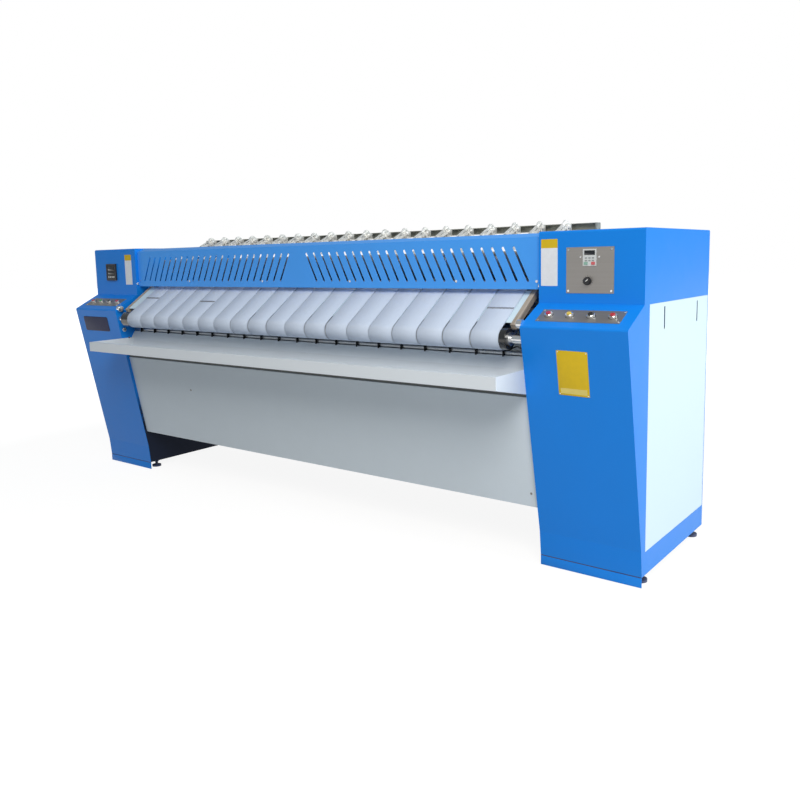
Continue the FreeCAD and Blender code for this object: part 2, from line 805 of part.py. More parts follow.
def feed_roller(y, z, pulley=False):
    whole = roller(y, z, feed_tube_radius, feed_bed_half, feed_shaft_radius, inner + frame_plate + 32)
    collars = [rod(26.0, side * feed_bed_half, side * (feed_bed_half + 9), y, z) for side in (-1, 1)]
    shapes = [whole] + collars
    if pulley:
        radius = feed_drive_radius * feed_radius / roll_radius
        half = feed_pulley_width / 2
        shapes.append(rod(feed_shaft_radius, -inner, feed_pulley_x - half - 4, y, z))
        shapes.append(rod(radius, feed_pulley_x - half, feed_pulley_x + half, y, z))
        shapes += [rod(radius + 8, feed_pulley_x + s * half, feed_pulley_x + s * (half + 3), y, z)
                   for s in (-1, 1)]
    return fused(shapes)


def feed_belts():
    circles = [(nose_y, nose_z, feed_tube_radius), (rear_feed_y, rear_feed_z, feed_tube_radius)]
    one = belt(circles, feed_belt_thickness, -feed_belt_width / 2, feed_belt_width / 2)
    return [one.translated(vec(x, 0, 0)) for x in feed_belt_xs()]


def feed_belt_xs():
    middle = (belt_count - 1) / 2
    return [feed_belts_centre + (i - middle) * belt_pitch for i in range(belt_count)]


def table_piece(x0, x1, s0, s1, h0, h1):
    """Box square to the feed table: s runs up the table from the nose roller, h stands out of it."""
    c, s = math.cos(slope), math.sin(slope)
    corners = [(s0, h0), (s1, h0), (s1, h1), (s0, h1)]
    return prism([(nose_y + a * c - b * s, nose_z + a * s + b * c) for a, b in corners], x0, x1)


def feed_bed():
    top = feed_tube_radius - 0.2
    plate = table_piece(-feed_bed_half, feed_bed_half, 46, table_length - 46, top - 2, top)
    half = table_length / 2
    ribs = [table_piece(x - 3, x + 3, half - 42, half + 42, feed_beam_half, top - 2) for x in rib_xs()]
    return fused([plate] + ribs)


def rib_xs():
    count = 5
    return [(-1 + 2 * i / (count - 1)) * (feed_bed_half - 60) for i in range(count)]


def side_rail(side):
    x0 = feed_bed_half + 1
    rail = table_piece(side * x0, side * (x0 + rail_width), 34, table_length - 34, feed_beam_half,
                       feed_tube_radius + 1)
    return rail


keep("nose_roller", feed_roller(nose_y, nose_z))
keep("rear_feed_roller", feed_roller(rear_feed_y, rear_feed_z, pulley=True))
keep("feed_belts", *feed_belts())
keep("feed_bed", feed_bed())
keep("feed_side_rails", side_rail(-1), side_rail(1))


# ---------------------------------------------------------------- scraper fingers
def finger(x):
    """Thin plate from the bar to just off the roll, with a tab that hangs in front of the bar."""
    y, z, r = finger_bar_y, finger_bar_z, finger_bar_radius
    tip = roll_y - math.sqrt(roll_radius ** 2 - (z + 14 - roll_z) ** 2) - finger_clearance
    outline = [
        (y - r - 10, z - 14),
        (y - r - 4, z - 14),
        (y - r - 2, z - r - 3),
        (y + r + 4, z - r - 3),
        (y + r + 14, z + 4),
        (tip, z + 12),
        (tip, z + 15),
        (y, z + r + 4),
        (y - r - 10, z + r),
    ]
    plate = prism(outline, x - finger_width / 2, x + finger_width / 2)
    return plate.cut(rod(r, x - 10, x + 10, y, z))


def finger_xs():
    middle = belt_count / 2
    return [tension_row_centre + (i - middle) * belt_pitch for i in range(belt_count + 1)]


keep("finger_bar", rod(finger_bar_radius, -inner, inner, finger_bar_y, finger_bar_z))
keep("scraper_fingers", *[finger(x) for x in finger_xs()])


# ---------------------------------------------------------------- heated roll and its belts
def roll_end(side):
    """End disc with its hollow journal."""
    half = roll_length / 2
    far = journal_right_end if side > 0 else journal_left_end
    disc = rod(roll_radius - roll_wall, side * (half - roll_end_thickness), side * half, roll_y, roll_z)
    journal = rod(journal_radius, side * (half - roll_end_thickness), side * far, roll_y, roll_z)
    whole = disc.fuse(journal)
    bore = rod(journal_bore, side * (half - 40), side * (far + 1), roll_y, roll_z)
    return whole.cut(bore).removeSplitter()


def roll_bearing(side):
    """Square flange bearing on the outer face of the side frame."""
    x0 = inner + frame_plate
    flange = block(side * x0, side * (x0 + 20), roll_y - 100, roll_y + 100, roll_z - 100, roll_z + 100)
    boss = rod(82.0, side * x0, side * (x0 + 55), roll_y, roll_z)
    whole = flange.fuse(boss)
    bore = rod(journal_radius + bearing_gap, side * (x0 - 1), side * (x0 + 56), roll_y, roll_z)
    return whole.cut(bore).removeSplitter()


def pulley(x, width, radius, y, z, bore, flange=10.0):
    """Flat pulley with two flanges."""
    half = width / 2
    wheel = rod(radius, x - half, x + half, y, z)
    rims = [rod(radius + flange, x + s * half, x + s * (half + 4), y, z) for s in (-1, 1)]
    return fused([wheel] + rims).cut(rod(bore, x - width, x + width, y, z))


def heater_core():
    """Fixed tube through the hollow journals, with the plates that hold the heater tubes."""
    left, right = journal_left_end + 40, journal_right_end + 40
    tube = pipe(22.0, 18.0, -left, right, roll_y, roll_z)
    plates = []
    for i in range(3):
        x = (i - 1) * 900.0
        plates.append(pipe(heater_plate_radius, 21.0, x - 3, x + 3, roll_y, roll_z))
    core = fused([tube] + plates)
    for y, z in heater_places():
        core = core.cut(rod(heater_tube_radius, -heater_half, heater_half, y, z))
    return core


def heater_places():
    ring = heater_plate_radius - 35
    return [(roll_y + ring * math.cos(math.radians(a)), roll_z + ring * math.sin(math.radians(a)))
            for a in range(0, 360, 60)]


def heater_support(side):
    """Plate and two stand-offs that hold the end of the heater core outside the journal."""
    reach = 195.0
    face = (journal_right_end if side > 0 else journal_left_end) + 15
    x0 = inner + frame_plate
    plate = prism([(roll_y - 34, roll_z - 34), (roll_y + reach + 16, roll_z - 20),
                   (roll_y + reach + 16, roll_z + 20), (roll_y + 20, roll_z + reach + 16),
                   (roll_y - 20, roll_z + reach + 16)], side * face, side * (face + 8))
    stands = [rod(10.0, side * x0, side * (face + 1), roll_y + reach, roll_z),
              rod(10.0, side * x0, side * (face + 1), roll_y, roll_z + reach)]
    return fused([plate] + stands).cut(rod(22.0, side * face - 20, side * face + 20, roll_y, roll_z))


def ironing_belts():
    """Each belt wraps the roll from the front top over the back to the front, and returns outside it."""
    circles = [
        tension_roller,
        (roll_y, roll_z, -roll_radius),
        exit_roller,
        front_low_roller,
        rear_low_roller,
        rear_top_roller,
    ]
    return belt(circles[::-1], iron_belt_thickness, -iron_belt_width / 2, iron_belt_width / 2)


def iron_belt_xs():
    middle = (belt_count - 1) / 2
    return [tension_row_centre + (i - middle) * belt_pitch for i in range(belt_count)]


def belt_roller(place):
    y, z, radius = place
    return roller(y, z, radius, belt_roller_half, belt_shaft_radius, inner + frame_plate + 28)


def flange_bearing(side, y, z, shaft):
    """Small flange bearing on the outer face of the side frame."""
    x0 = inner + frame_plate
    plate = rod(shaft + 14, side * x0, side * (x0 + 8), y, z)
    boss = rod(shaft + 8, side * x0, side * (x0 + 24), y, z)
    bore = rod(shaft + bearing_gap, side * (x0 - 1), side * (x0 + 30), y, z)
    return plate.fuse(boss).removeSplitter().cut(bore)


def roller_bearings():
    places = [(y, z, belt_shaft_radius)
              for y, z, _ in (exit_roller, front_low_roller, rear_low_roller, rear_top_roller)]
    places.append((rear_feed_y, rear_feed_z, feed_shaft_radius))
    bearings = [flange_bearing(side, y, z, r) for side in (-1, 1) for y, z, r in places]
    nose = []
    for side in (-1, 1):
        bearing = flange_bearing(side, nose_y, nose_z, feed_shaft_radius)
        front = block(side * inner, side * (inner + 60), nose_y - 60, nose_y - 18, nose_z - 60, nose_z + 60)
        nose.append(bearing.cut(front))
    return bearings + nose


keep("heated_roll", pipe(roll_radius, roll_radius - roll_wall, -roll_length / 2, roll_length / 2,
                         roll_y, roll_z))
keep("roll_ends", roll_end(-1), roll_end(1))
keep("roll_bearings", roll_bearing(-1), roll_bearing(1))
keep("heater_core", heater_core(), heater_support(-1), heater_support(1))
keep("heater_tubes", *[rod(heater_tube_radius, -heater_half, heater_half, y, z) for y, z in heater_places()])
one_belt = ironing_belts()
keep("ironing_belts", *[one_belt.translated(vec(x, 0, 0)) for x in iron_belt_xs()])
keep("exit_belt_roller", belt_roller(exit_roller))
keep("front_low_belt_roller", belt_roller(front_low_roller))
keep("rear_low_belt_roller", belt_roller(rear_low_roller))
keep("rear_top_belt_roller", belt_roller(rear_top_roller))
keep("roller_bearings", *roller_bearings())


# ---------------------------------------------------------------- belt tension frame
def unit_xs():
    count = belt_count + 1
    return [tension_row_centre + (i - (count - 1) / 2) * belt_pitch for i in range(count)]


def tension_bar():
    """Channel open to the front, on a plate at each end that is bolted to the side frame."""
    length = inner
    y0, y1 = bar_y, bar_y + bar_depth
    bar = block(-length, length, y0, y1, bar_low, bar_high)
    bar = bar.cut(block(-length - 1, length + 1, y0 - 1, y1 - bar_wall, bar_low + bar_wall,
                        bar_high - bar_wall))
    plates = [block(side * (inner - 6), side * inner, y0 - 6, y1 + 6, bar_low - 130, bar_high)
              for side in (-1, 1)]
    return fused([bar] + plates)


def bracket(x):
    """Two ears and a web that carry one arm's pivot pin, welded under the bar's front edge."""
    low = pivot_z - shelf_drop
    ear = [
        (pivot_y - 9, low),
        (pivot_y + 9, low),
        (pivot_y + 9, bar_low - 3),
        (bar_y, bar_low - 3),
        (bar_y, bar_high - 4),
        (pivot_y + 8, bar_high + 1),
        (pivot_y - 8, bar_high + 1),
    ]
    inside = arm_half_gap + arm_plate + 1.5
    ears = [prism(ear, x + s * inside, x + s * (inside + ear_plate)) for s in (-1, 1)]
    shelf_front = pivot_y - spring_arm - 12
    web = block(x - inside, x + inside, shelf_front, pivot_y + 9, low - ear_plate, low)
    feet = [block(x + s * inside, x + s * (inside + ear_plate), pivot_y - 9, pivot_y + 9,
                  low - ear_plate, low) for s in (-1, 1)]
    spigot = post(spring_radius - spring_wire - 1, x, pivot_y - spring_arm, low, low + 6)
    pin = rod(pivot_pin_radius, x - inside - ear_plate - 3, x + inside + ear_plate + 3, pivot_y, pivot_z)
    heads = [rod(8.0, x + s * (inside + ear_plate), x + s * (inside + ear_plate + 3), pivot_y, pivot_z)
             for s in (-1, 1)]
    return fused(ears + feet + [web, spigot, pin] + heads)


def arm_angle():
    y, z, _ = tension_roller
    return math.atan2(z - pivot_z, y - pivot_y)


def arm(x):
    """Fork of two flat bars from the hub wheel down to the tension shaft."""
    y, z, _ = tension_roller
    angle = arm_angle()
    c, s = math.cos(angle), math.sin(angle)
    length = math.hypot(y - pivot_y, z - pivot_z)
    half = arm_height / 2

    def along(distance, offset):
        return (pivot_y + distance * c - offset * s, pivot_z + distance * s + offset * c)

    outline = [along(-6, -half), along(length + 8, -half), along(length + 8, half), along(-6, half)]
    bars = [prism(outline, x + side * arm_half_gap, x + side * (arm_half_gap + arm_plate))
            for side in (-1, 1)]
    hub = rod(13.0, x - arm_half_gap - arm_plate, x + arm_half_gap + arm_plate, pivot_y, pivot_z)
    wheel = rod(hub_radius, x - 3, x + 3, pivot_y, pivot_z)
    boss = rod(13.0, x - arm_half_gap - arm_plate, x + arm_half_gap + arm_plate, y, z)
    reach = spring_arm / math.cos(math.pi - abs(angle))
    seat_middle = along(reach, -half - 1)
    seat = block(x - arm_half_gap - arm_plate, x + arm_half_gap + arm_plate, seat_middle[0] - 9,
                 seat_middle[0] + 9, spring_top(), spring_top() + 8)
    whole = fused(bars + [hub, wheel, boss, seat])
    whole = whole.cut(rod(pivot_pin_radius + 0.08, x - 40, x + 40, pivot_y, pivot_z))
    return whole.cut(rod(tension_shaft_radius, x - 40, x + 40, y, z))


def spring_top():
    angle = math.pi - abs(arm_angle())
    return pivot_z - spring_arm * math.tan(angle) - arm_height / 2 / math.cos(angle) - 2


def quarter_biarc(start, end, start_heading, end_heading):
    """Two arcs from start to end that meet smoothly and keep both headings."""
    chord = end - start
    both = start_heading + end_heading
    square = 2 * (start_heading.dot(end_heading) - 1)
    reach = chord.dot(both) / square
    reach += math.sqrt(reach ** 2 - chord.dot(chord) / square)
    first_knee = start + start_heading * reach
    second_knee = end - end_heading * reach
    joint = (first_knee + second_knee) * 0.5
    return [arc_from(start, joint, start_heading), arc_from(end, joint, end_heading * -1).reversed()]


def arc_from(start, end, heading):
    """Arc that leaves start along heading and stops at end."""
    chord = end - start
    half = chord.Length / 2
    along = chord * (1 / chord.Length)
    aside = heading - along * heading.dot(along)
    bulge = half * math.tan(math.acos(min(1.0, heading.dot(along))) / 2)
    middle = start + chord * 0.5 + aside * (bulge / aside.Length)
    return Part.Arc(start, middle, end).toShape()


def spring_point(angle, low, rise):
    """Place and heading on the coil: angle in radians from its start, rise per radian."""
    radius = spring_radius - spring_wire / 2
    place = vec(radius * math.cos(angle), radius * math.sin(angle), low + rise * angle)
    heading = vec(-radius * math.sin(angle), radius * math.cos(angle), rise)
    return place, heading.normalize()


def spring():
    """Compression spring between the bracket's shelf and the arm's seat, on the machine's middle."""
    low = pivot_z - shelf_drop + fit_gap + spring_wire / 2
    high = spring_top() - fit_gap - spring_wire / 2
    rise = (high - low) / (spring_turns * 2 * math.pi)
    edges = []
    for i in range(spring_turns * 4):
        start, start_heading = spring_point(i * math.pi / 2, low, rise)
        end, end_heading = spring_point((i + 1) * math.pi / 2, low, rise)
        edges += quarter_biarc(start, end, start_heading, end_heading)
    start, heading = spring_point(0.0, low, rise)
    section = Part.Wire(Part.makeCircle(spring_wire / 2, start, heading))
    print("spring: least gap to itself", round(coil_gap(low, rise), 2), "mm")
    tube = Part.Wire(edges).makePipeShell([section], True, False)
    tube.translate(vec(0, pivot_y - spring_arm, 0))
    return tube


def coil_gap(low, rise):
    """Least distance between points more than half a turn apart, less the wire."""
    steps = 36
    points = [spring_point(i * 2 * math.pi / steps, low, rise)[0] for i in range(spring_turns * steps + 1)]
    least = min(points[i].distanceToPoint(points[j])
                for i in range(len(points)) for j in range(i + steps // 2, len(points)))
    return least - spring_wire


def tension_shaft():
    y, z, _ = tension_roller
    ends = unit_xs()
    return rod(tension_shaft_radius, ends[0] - 20, ends[-1] + 20, y, z)


def tension_rollers():
    """One short roller in front of each ironing belt, free on the tension shaft."""
    y, z, radius = tension_roller
    half = (belt_pitch - 2 * (arm_half_gap + arm_plate)) / 2 - 1.0
    return [pipe(radius, tension_shaft_radius + 0.08, x - half, x + half, y, z) for x in iron_belt_xs()]


keep("tension_bar", tension_bar())
keep("tension_brackets", *[bracket(x) for x in unit_xs()])
keep("tension_arms", tension_shaft(), *[arm(x) for x in unit_xs()])
one_spring = spring()
keep("tension_springs", *[one_spring.translated(vec(x, 0, 0)) for x in unit_xs()])
keep("tension_rollers", *tension_rollers())


# ---------------------------------------------------------------- drive
def gearbox():
    housing = block(gearbox_x[0], gearbox_x[1], gearbox_y[0], gearbox_y[1], gearbox_z[0], gearbox_z[1])
    corners = [e for e in housing.Edges if abs(e.Vertexes[0].Point.x - e.Vertexes[-1].Point.x) > 1]
    housing = housing.makeFillet(14, corners)
    seat = rod(40.0, gearbox_x[1], gearbox_x[1] + 12, output_y, output_z)
    bore = rod(output_radius + bearing_gap, gearbox_x[0] + 40, gearbox_x[1] + 20, output_y, output_z)
    return housing.fuse(seat).removeSplitter().cut(bore)


def motor():
    x = (gearbox_x[0] + gearbox_x[1]) / 2
    y0 = gearbox_y[1]
    body = front_rod(motor_radius - 6, x, output_z, y0 + 12, motor_end_y - 40)
    flange = front_rod(motor_radius, x, output_z, y0, y0 + 12)
    cowl = front_rod(motor_radius - 2, x, output_z, motor_end_y - 40, motor_end_y)
    fins = []
    for i in range(24):
        fin = block(x - 1.5, x + 1.5, y0 + 12, motor_end_y - 40, output_z, output_z + motor_radius)
        fin.rotate(vec(x, 0, output_z), vec(0, 1, 0), i * 360 / 24)
        fins.append(fin)
    box = block(x - 45, x + 45, y0 + 40, y0 + 130, output_z + motor_radius - 12, output_z + motor_radius + 45)
    leg_low = gearbox_z[0]
    legs = block(x - 50, x + 50, y0 + 40, motor_end_y - 60, leg_low, output_z - motor_radius + 14)
    return fused([body, flange, cowl, box, legs] + fins)


def motor_pulley():
    wheel = pulley(drive_pulley_x, drive_pulley_width, motor_pulley_radius, output_y, output_z, 1.0)
    shaft = rod(output_radius, gearbox_x[0] + 50, drive_pulley_x + drive_pulley_width / 2 + 8,
                output_y, output_z)
    return fused([wheel, shaft])


def drive_belt(x, width, thickness, first, second):
    half = width / 2 - 2
    return belt([first, second], thickness, x - half, x + half)


keep("gearbox", gearbox())
keep("drive_motor", motor())
keep("motor_pulley", motor_pulley())
keep("roll_pulleys",
     pulley(drive_pulley_x, drive_pulley_width, roll_pulley_radius, roll_y, roll_z, journal_radius),
     pulley(feed_pulley_x, feed_pulley_width, feed_drive_radius, roll_y, roll_z, journal_radius))
feed_driven_radius = feed_drive_radius * feed_radius / roll_radius
keep("drive_belts",
     drive_belt(drive_pulley_x, drive_pulley_width, drive_belt_thickness,
                (output_y, output_z, motor_pulley_radius), (roll_y, roll_z, roll_pulley_radius)),
     drive_belt(feed_pulley_x, feed_pulley_width, feed_belt_drive_thickness,
                (rear_feed_y, rear_feed_z, feed_driven_radius), (roll_y, roll_z, feed_drive_radius)))


# ---------------------------------------------------------------- controls
def deck_plate(side):
    x0 = cabinet_middle - deck_plate_length / 2
    x1 = cabinet_middle + deck_plate_length / 2
    half = deck_plate_width / 2
    plate = deck_block(side * x0, side * x1, button_station - half, button_station + half, 0,
                       deck_plate_sheet)
    for x in button_xs:
        plate = plate.cut(deck_rod(neck_radius + 0.2, side * x, button_station, -5, 5))
    return plate


def bezel(x):
    """Ring on the deck plate, neck through the deck and the contact block behind it."""
    top = deck_plate_sheet + bezel_height
    ring = deck_rod(bezel_radius, x, button_station, deck_plate_sheet, top)
    edge = [e for e in ring.Edges if e.Closed and e.BoundBox.ZMax == max(f.BoundBox.ZMax for f in ring.Edges)]
    ring = ring.makeChamfer(1.5, edge[:1])
    neck = deck_rod(neck_radius, x, button_station, -neck_length, deck_plate_sheet + 1)
    contacts = deck_block(x - 14, x + 14, button_station - 14, button_station + 14, -neck_length - 26,
                          -neck_length)
    whole = fused([ring, neck, contacts])
    return whole.cut(deck_rod(button_radius + fit_gap, x, button_station, -neck_length - 4, top + 5))


def button(x):
    high = deck_plate_sheet + bezel_height + button_proud
    cap = deck_rod(button_radius, x, button_station, high - button_length, high)
    rim = [e for e in cap.Edges if e.Closed]
    rim.sort(key=lambda e: e.BoundBox.ZMax)
    return cap.makeFillet(1.0, [rim[-1]])


def instrument_plate():
    half = instrument_width / 2
    y0 = -box_reach - instrument_sheet
    plate = block(instrument_x - half, instrument_x + half, y0, -box_reach, instrument_low, instrument_high)
    plate = plate.cut(keypad_block(fit_gap, y0 - 1, -box_reach + 1))
    bush = front_rod(7.0, knob_x, knob_z, y0, -box_reach + 14)
    plate = plate.fuse(bush)
    return plate.cut(front_rod(knob_shaft_radius + bearing_gap, knob_x, knob_z, y0 - 1, -box_reach + 20))


def keypad():
    """Keypad with a rim on the plate, a body through it, a sunk display and two key wells."""
    front = -box_reach - instrument_sheet - keypad_proud
    rim = keypad_block(keypad_rim, front, -box_reach - instrument_sheet)
    whole = rim.fuse(keypad_block(0.0, front, front + keypad_depth))
    half = keypad_width / 2 - keypad_rim - 3
    whole = whole.cut(block(instrument_x - half, instrument_x + half, front - 1, front + 1.2, display_low,
                            display_high))
    for x in key_xs():
        whole = whole.cut(key_block(x, fit_gap, front - 1, front + 4.5))
    return whole.removeSplitter()


def key_xs():
    return (instrument_x - key_offset, instrument_x + key_offset)


def key_block(x, grow, y0, y1):
    half = key_width / 2 + grow
    return block(x - half, x + half, y0, y1, key_z - key_height / 2 - grow, key_z + key_height / 2 + grow)


def key(x):
    front = -box_reach - instrument_sheet - keypad_proud
    return key_block(x, 0.0, front - key_proud, front + 3.0)


def knob():
    base = -box_reach - instrument_sheet - fit_gap
    skirt = front_rod(knob_radius, knob_x, knob_z, base - 5, base)
    grip = front_rod(knob_radius - 3, knob_x, knob_z, base - knob_height, base - 5)
    pointer = block(knob_x - 3, knob_x + 3, base - knob_height - 2, base - knob_height,
                    knob_z - knob_radius + 4, knob_z + knob_radius - 4)
    pointer.rotate(vec(knob_x, 0, knob_z), vec(0, 1, 0), knob_turn)
    shaft = front_rod(knob_shaft_radius, knob_x, knob_z, base - 1, -box_reach + 18)
    return fused([skirt, grip, pointer, shaft])


def controller():
    half = controller_size / 2
    body_half = controller_body / 2
    x, z = controller_x, controller_z
    bezel_part = block(x - half, x + half, -box_reach - controller_proud, -box_reach, z - half, z + half)
    body = block(x - body_half, x + body_half, -box_reach - 1, -box_reach + controller_depth,
                 z - body_half, z + body_half)
    window = block(x - half + 8, x + half - 8, -box_reach - controller_proud - 1,
                   -box_reach - controller_proud + 2, z - half + 8, z + half - 8)
    return fused([bezel_part, body]).cut(window)


def gland():
    y0 = cabinet_depth
    out = front_rod(gland_radius, gland_x, gland_z, y0, y0 + gland_reach)
    through = front_rod(gland_radius * 0.6 - fit_gap, gland_x, gland_z, y0 - gland_inside, y0 + 1)
    nut = front_rod(gland_radius * 0.9, gland_x, gland_z, y0 - sheet - 8, y0 - sheet)
    bore = front_rod(gland_bore, gland_x, gland_z, y0 - gland_inside - 1, y0 + gland_reach + 1)
    return fused([out, through, nut]).cut(bore)


keep("deck_plates", deck_plate(-1), deck_plate(1))
keep("button_bezels", *[bezel(side * x) for side in (-1, 1) for x in button_xs])
for index, place in enumerate(sorted(-x for x in button_xs)):
    keep("left_button_%d" % (index + 1), button(place))
for index, place in enumerate(button_xs):
    keep("right_button_%d" % (index + 1), button(place))
keep("instrument_plate", instrument_plate())
keep("inverter_keypad", keypad())
keep("run_key", key(key_xs()[0]))
keep("stop_key", key(key_xs()[1]))
keep("speed_knob", knob())
keep("temperature_controller", controller())
keep("cable_gland", gland())


# ---------------------------------------------------------------- screws that show
def screw_front(x, y, z, radius):
    """Pan head on a face that looks forward."""
    head = front_rod(radius, x, z, y - radius * 0.5, y)
    return head.makeFillet(radius * 0.3, [e for e in head.Edges if e.Closed][:1])


def bolt_inside(side, y, z, radius, height):
    """Bolt head or buffer on the inner face of a side frame."""
    head = rod(radius, side * inner, side * (inner - height), y, z)
    rim = [e for e in head.Edges if e.Closed and abs(e.BoundBox.Center.x) < inner - height / 2]
    return head.makeFillet(2.0, rim)


def screws():
    ends = cover_half - 18
    places = [-ends, ends] + [cover_screw_offset + i * cover_screw_pitch for i in (-1.5, -0.5, 0.5, 1.5)]
    found = [screw_front(x, 0.0, cover_low + cover_screw_inset, 5.0) for x in places]
    margin = 9.0
    for x in (instrument_x - instrument_width / 2 + margin, instrument_x + instrument_width / 2 - margin):
        for z in (instrument_low + margin, instrument_high - margin):
            found.append(screw_front(x, -box_reach - instrument_sheet, z, 4.0))
    for side in (-1, 1):
        found.append(bolt_inside(side, -box_reach / 2, cover_low + 14, 8.0, 5.0))
        found.append(bolt_inside(side, nose_y - 9, nose_z + 57, 17.0, 22.0))
        found.append(bolt_inside(side, nose_y + 14, nose_z - 62, 12.0, 7.0))
    return found


keep("panel_screws", *screws())


# ---------------------------------------------------------------- export
def write_nodes():
    for name, solids in nodes.items():
        moved = [solid.translated(vec(0, -middle_y, 0)) for solid in solids]
        shape = moved[0] if len(moved) == 1 else Part.makeCompound(moved)
        broken = [s for s in moved if not s.isValid() or s.Volume <= 0]
        if broken:
            print("BROKEN", name, len(broken))
        shape.exportStep("parts/%s.step" % name)
    print(len(nodes), "nodes; middle of the footprint is", middle_y, "mm behind the toe plates")


write_nodes()
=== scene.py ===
import json
import logging
import math
import random
from contextlib import contextmanager
from dataclasses import dataclass, field
from enum import Enum
from typing import Any, Iterable, Iterator, Sequence

import bmesh
import bpy
from mathutils import Matrix, Vector


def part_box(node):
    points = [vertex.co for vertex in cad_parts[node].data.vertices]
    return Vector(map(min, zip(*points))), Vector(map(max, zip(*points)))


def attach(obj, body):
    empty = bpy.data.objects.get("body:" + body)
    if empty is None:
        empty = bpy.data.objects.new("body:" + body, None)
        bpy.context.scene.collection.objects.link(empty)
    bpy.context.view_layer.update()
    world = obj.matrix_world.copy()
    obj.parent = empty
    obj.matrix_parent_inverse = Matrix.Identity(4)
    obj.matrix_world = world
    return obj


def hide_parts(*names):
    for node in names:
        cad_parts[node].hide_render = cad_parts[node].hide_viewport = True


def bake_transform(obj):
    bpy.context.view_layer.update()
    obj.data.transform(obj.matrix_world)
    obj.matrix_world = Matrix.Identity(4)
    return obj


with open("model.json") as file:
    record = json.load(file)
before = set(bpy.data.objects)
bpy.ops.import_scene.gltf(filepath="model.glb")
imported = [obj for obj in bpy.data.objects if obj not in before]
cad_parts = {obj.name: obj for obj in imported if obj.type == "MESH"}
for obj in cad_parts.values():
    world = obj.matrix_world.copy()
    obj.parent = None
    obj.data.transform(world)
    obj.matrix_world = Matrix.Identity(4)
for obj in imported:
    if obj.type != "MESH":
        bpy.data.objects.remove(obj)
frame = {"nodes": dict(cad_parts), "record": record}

LOG = logging.getLogger("ironer")
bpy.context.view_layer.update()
MM = 0.001
PLATE = 1.5 * MM  # thickness of the stainless plates
Colour = tuple[float, float, float]


# ------------------------------------------------------------------ shader maths
class Wire:
    """One number in a node tree. Arithmetic on it adds Math nodes."""

    def __init__(self, shader: "Nodes", socket: bpy.types.NodeSocket) -> None:
        """Keeps the tree that the socket belongs to, and the socket."""
        self.shader = shader
        self.socket = socket

    def _maths(self, operation: str, *values: Any) -> "Wire":
        """Adds one Math node.

        Args:
            operation: the Math node's operation.
            values: its inputs, wires or numbers.

        Returns:
            The node's result.
        """
        inputs = dict(enumerate(values))
        node = self.shader.node("ShaderNodeMath", {"operation": operation}, inputs)
        return Wire(self.shader, node.outputs[0])

    def __add__(self, other: Any) -> "Wire":
        """This number plus the other."""
        return self._maths("ADD", self, other)

    def __radd__(self, other: Any) -> "Wire":
        """The other number plus this one."""
        return self._maths("ADD", other, self)

    def __sub__(self, other: Any) -> "Wire":
        """This number less the other."""
        return self._maths("SUBTRACT", self, other)

    def __rsub__(self, other: Any) -> "Wire":
        """The other number less this one."""
        return self._maths("SUBTRACT", other, self)

    def __mul__(self, other: Any) -> "Wire":
        """This number times the other."""
        return self._maths("MULTIPLY", self, other)

    def __rmul__(self, other: Any) -> "Wire":
        """The other number times this one."""
        return self._maths("MULTIPLY", other, self)

    def __truediv__(self, other: Any) -> "Wire":
        """This number over the other."""
        return self._maths("DIVIDE", self, other)

    def sine(self) -> "Wire":
        """The sine of this number."""
        return self._maths("SINE", self)

    def size(self) -> "Wire":
        """This number without its sign."""
        return self._maths("ABSOLUTE", self)

    def between(self, low: float, high: float) -> "Wire":
        """This number mapped from low..high to 0..1, and held there."""
        settings = {"clamp": True}
        node = self.shader.node("ShaderNodeMapRange", settings, {0: self, 1: low, 2: high})
        return Wire(self.shader, node.outputs[0])


class Nodes:
    """Adds nodes to one tree and feeds their sockets."""

    def __init__(self, tree: bpy.types.NodeTree) -> None:
        """Empties the tree.

        Args:
            tree: the tree to build in.
        """
        self.tree = tree
        self.tree.nodes.clear()

    def node(self, kind: str, settings: dict[str, Any] | None = None,
             inputs: dict[Any, Any] | None = None) -> bpy.types.Node:
        """Adds any node.

        Args:
            kind: the node's type.
            settings: its properties, set first.
            inputs: values or links for its sockets, by name or number.

        Returns:
            The new node.
        """
        made = self.tree.nodes.new(kind)
        for key, value in (settings or {}).items():
            setattr(made, key, value)
        for key, value in (inputs or {}).items():
            self.feed(made.inputs[key], value)
        return made

    def feed(self, socket: bpy.types.NodeSocket, value: Any) -> None:
        """Links a wire or socket to a socket, or sets a plain value on it.

        Args:
            socket: the input to feed.
            value: a wire, an output socket, a number or a colour.
        """
        if isinstance(value, Wire):
            self.tree.links.new(value.socket, socket)
        elif isinstance(value, bpy.types.NodeSocket):
            self.tree.links.new(value, socket)
        elif socket.type == "RGBA" and len(value) == 3:
            socket.default_value = (*value, 1.0)
        else:
            socket.default_value = value


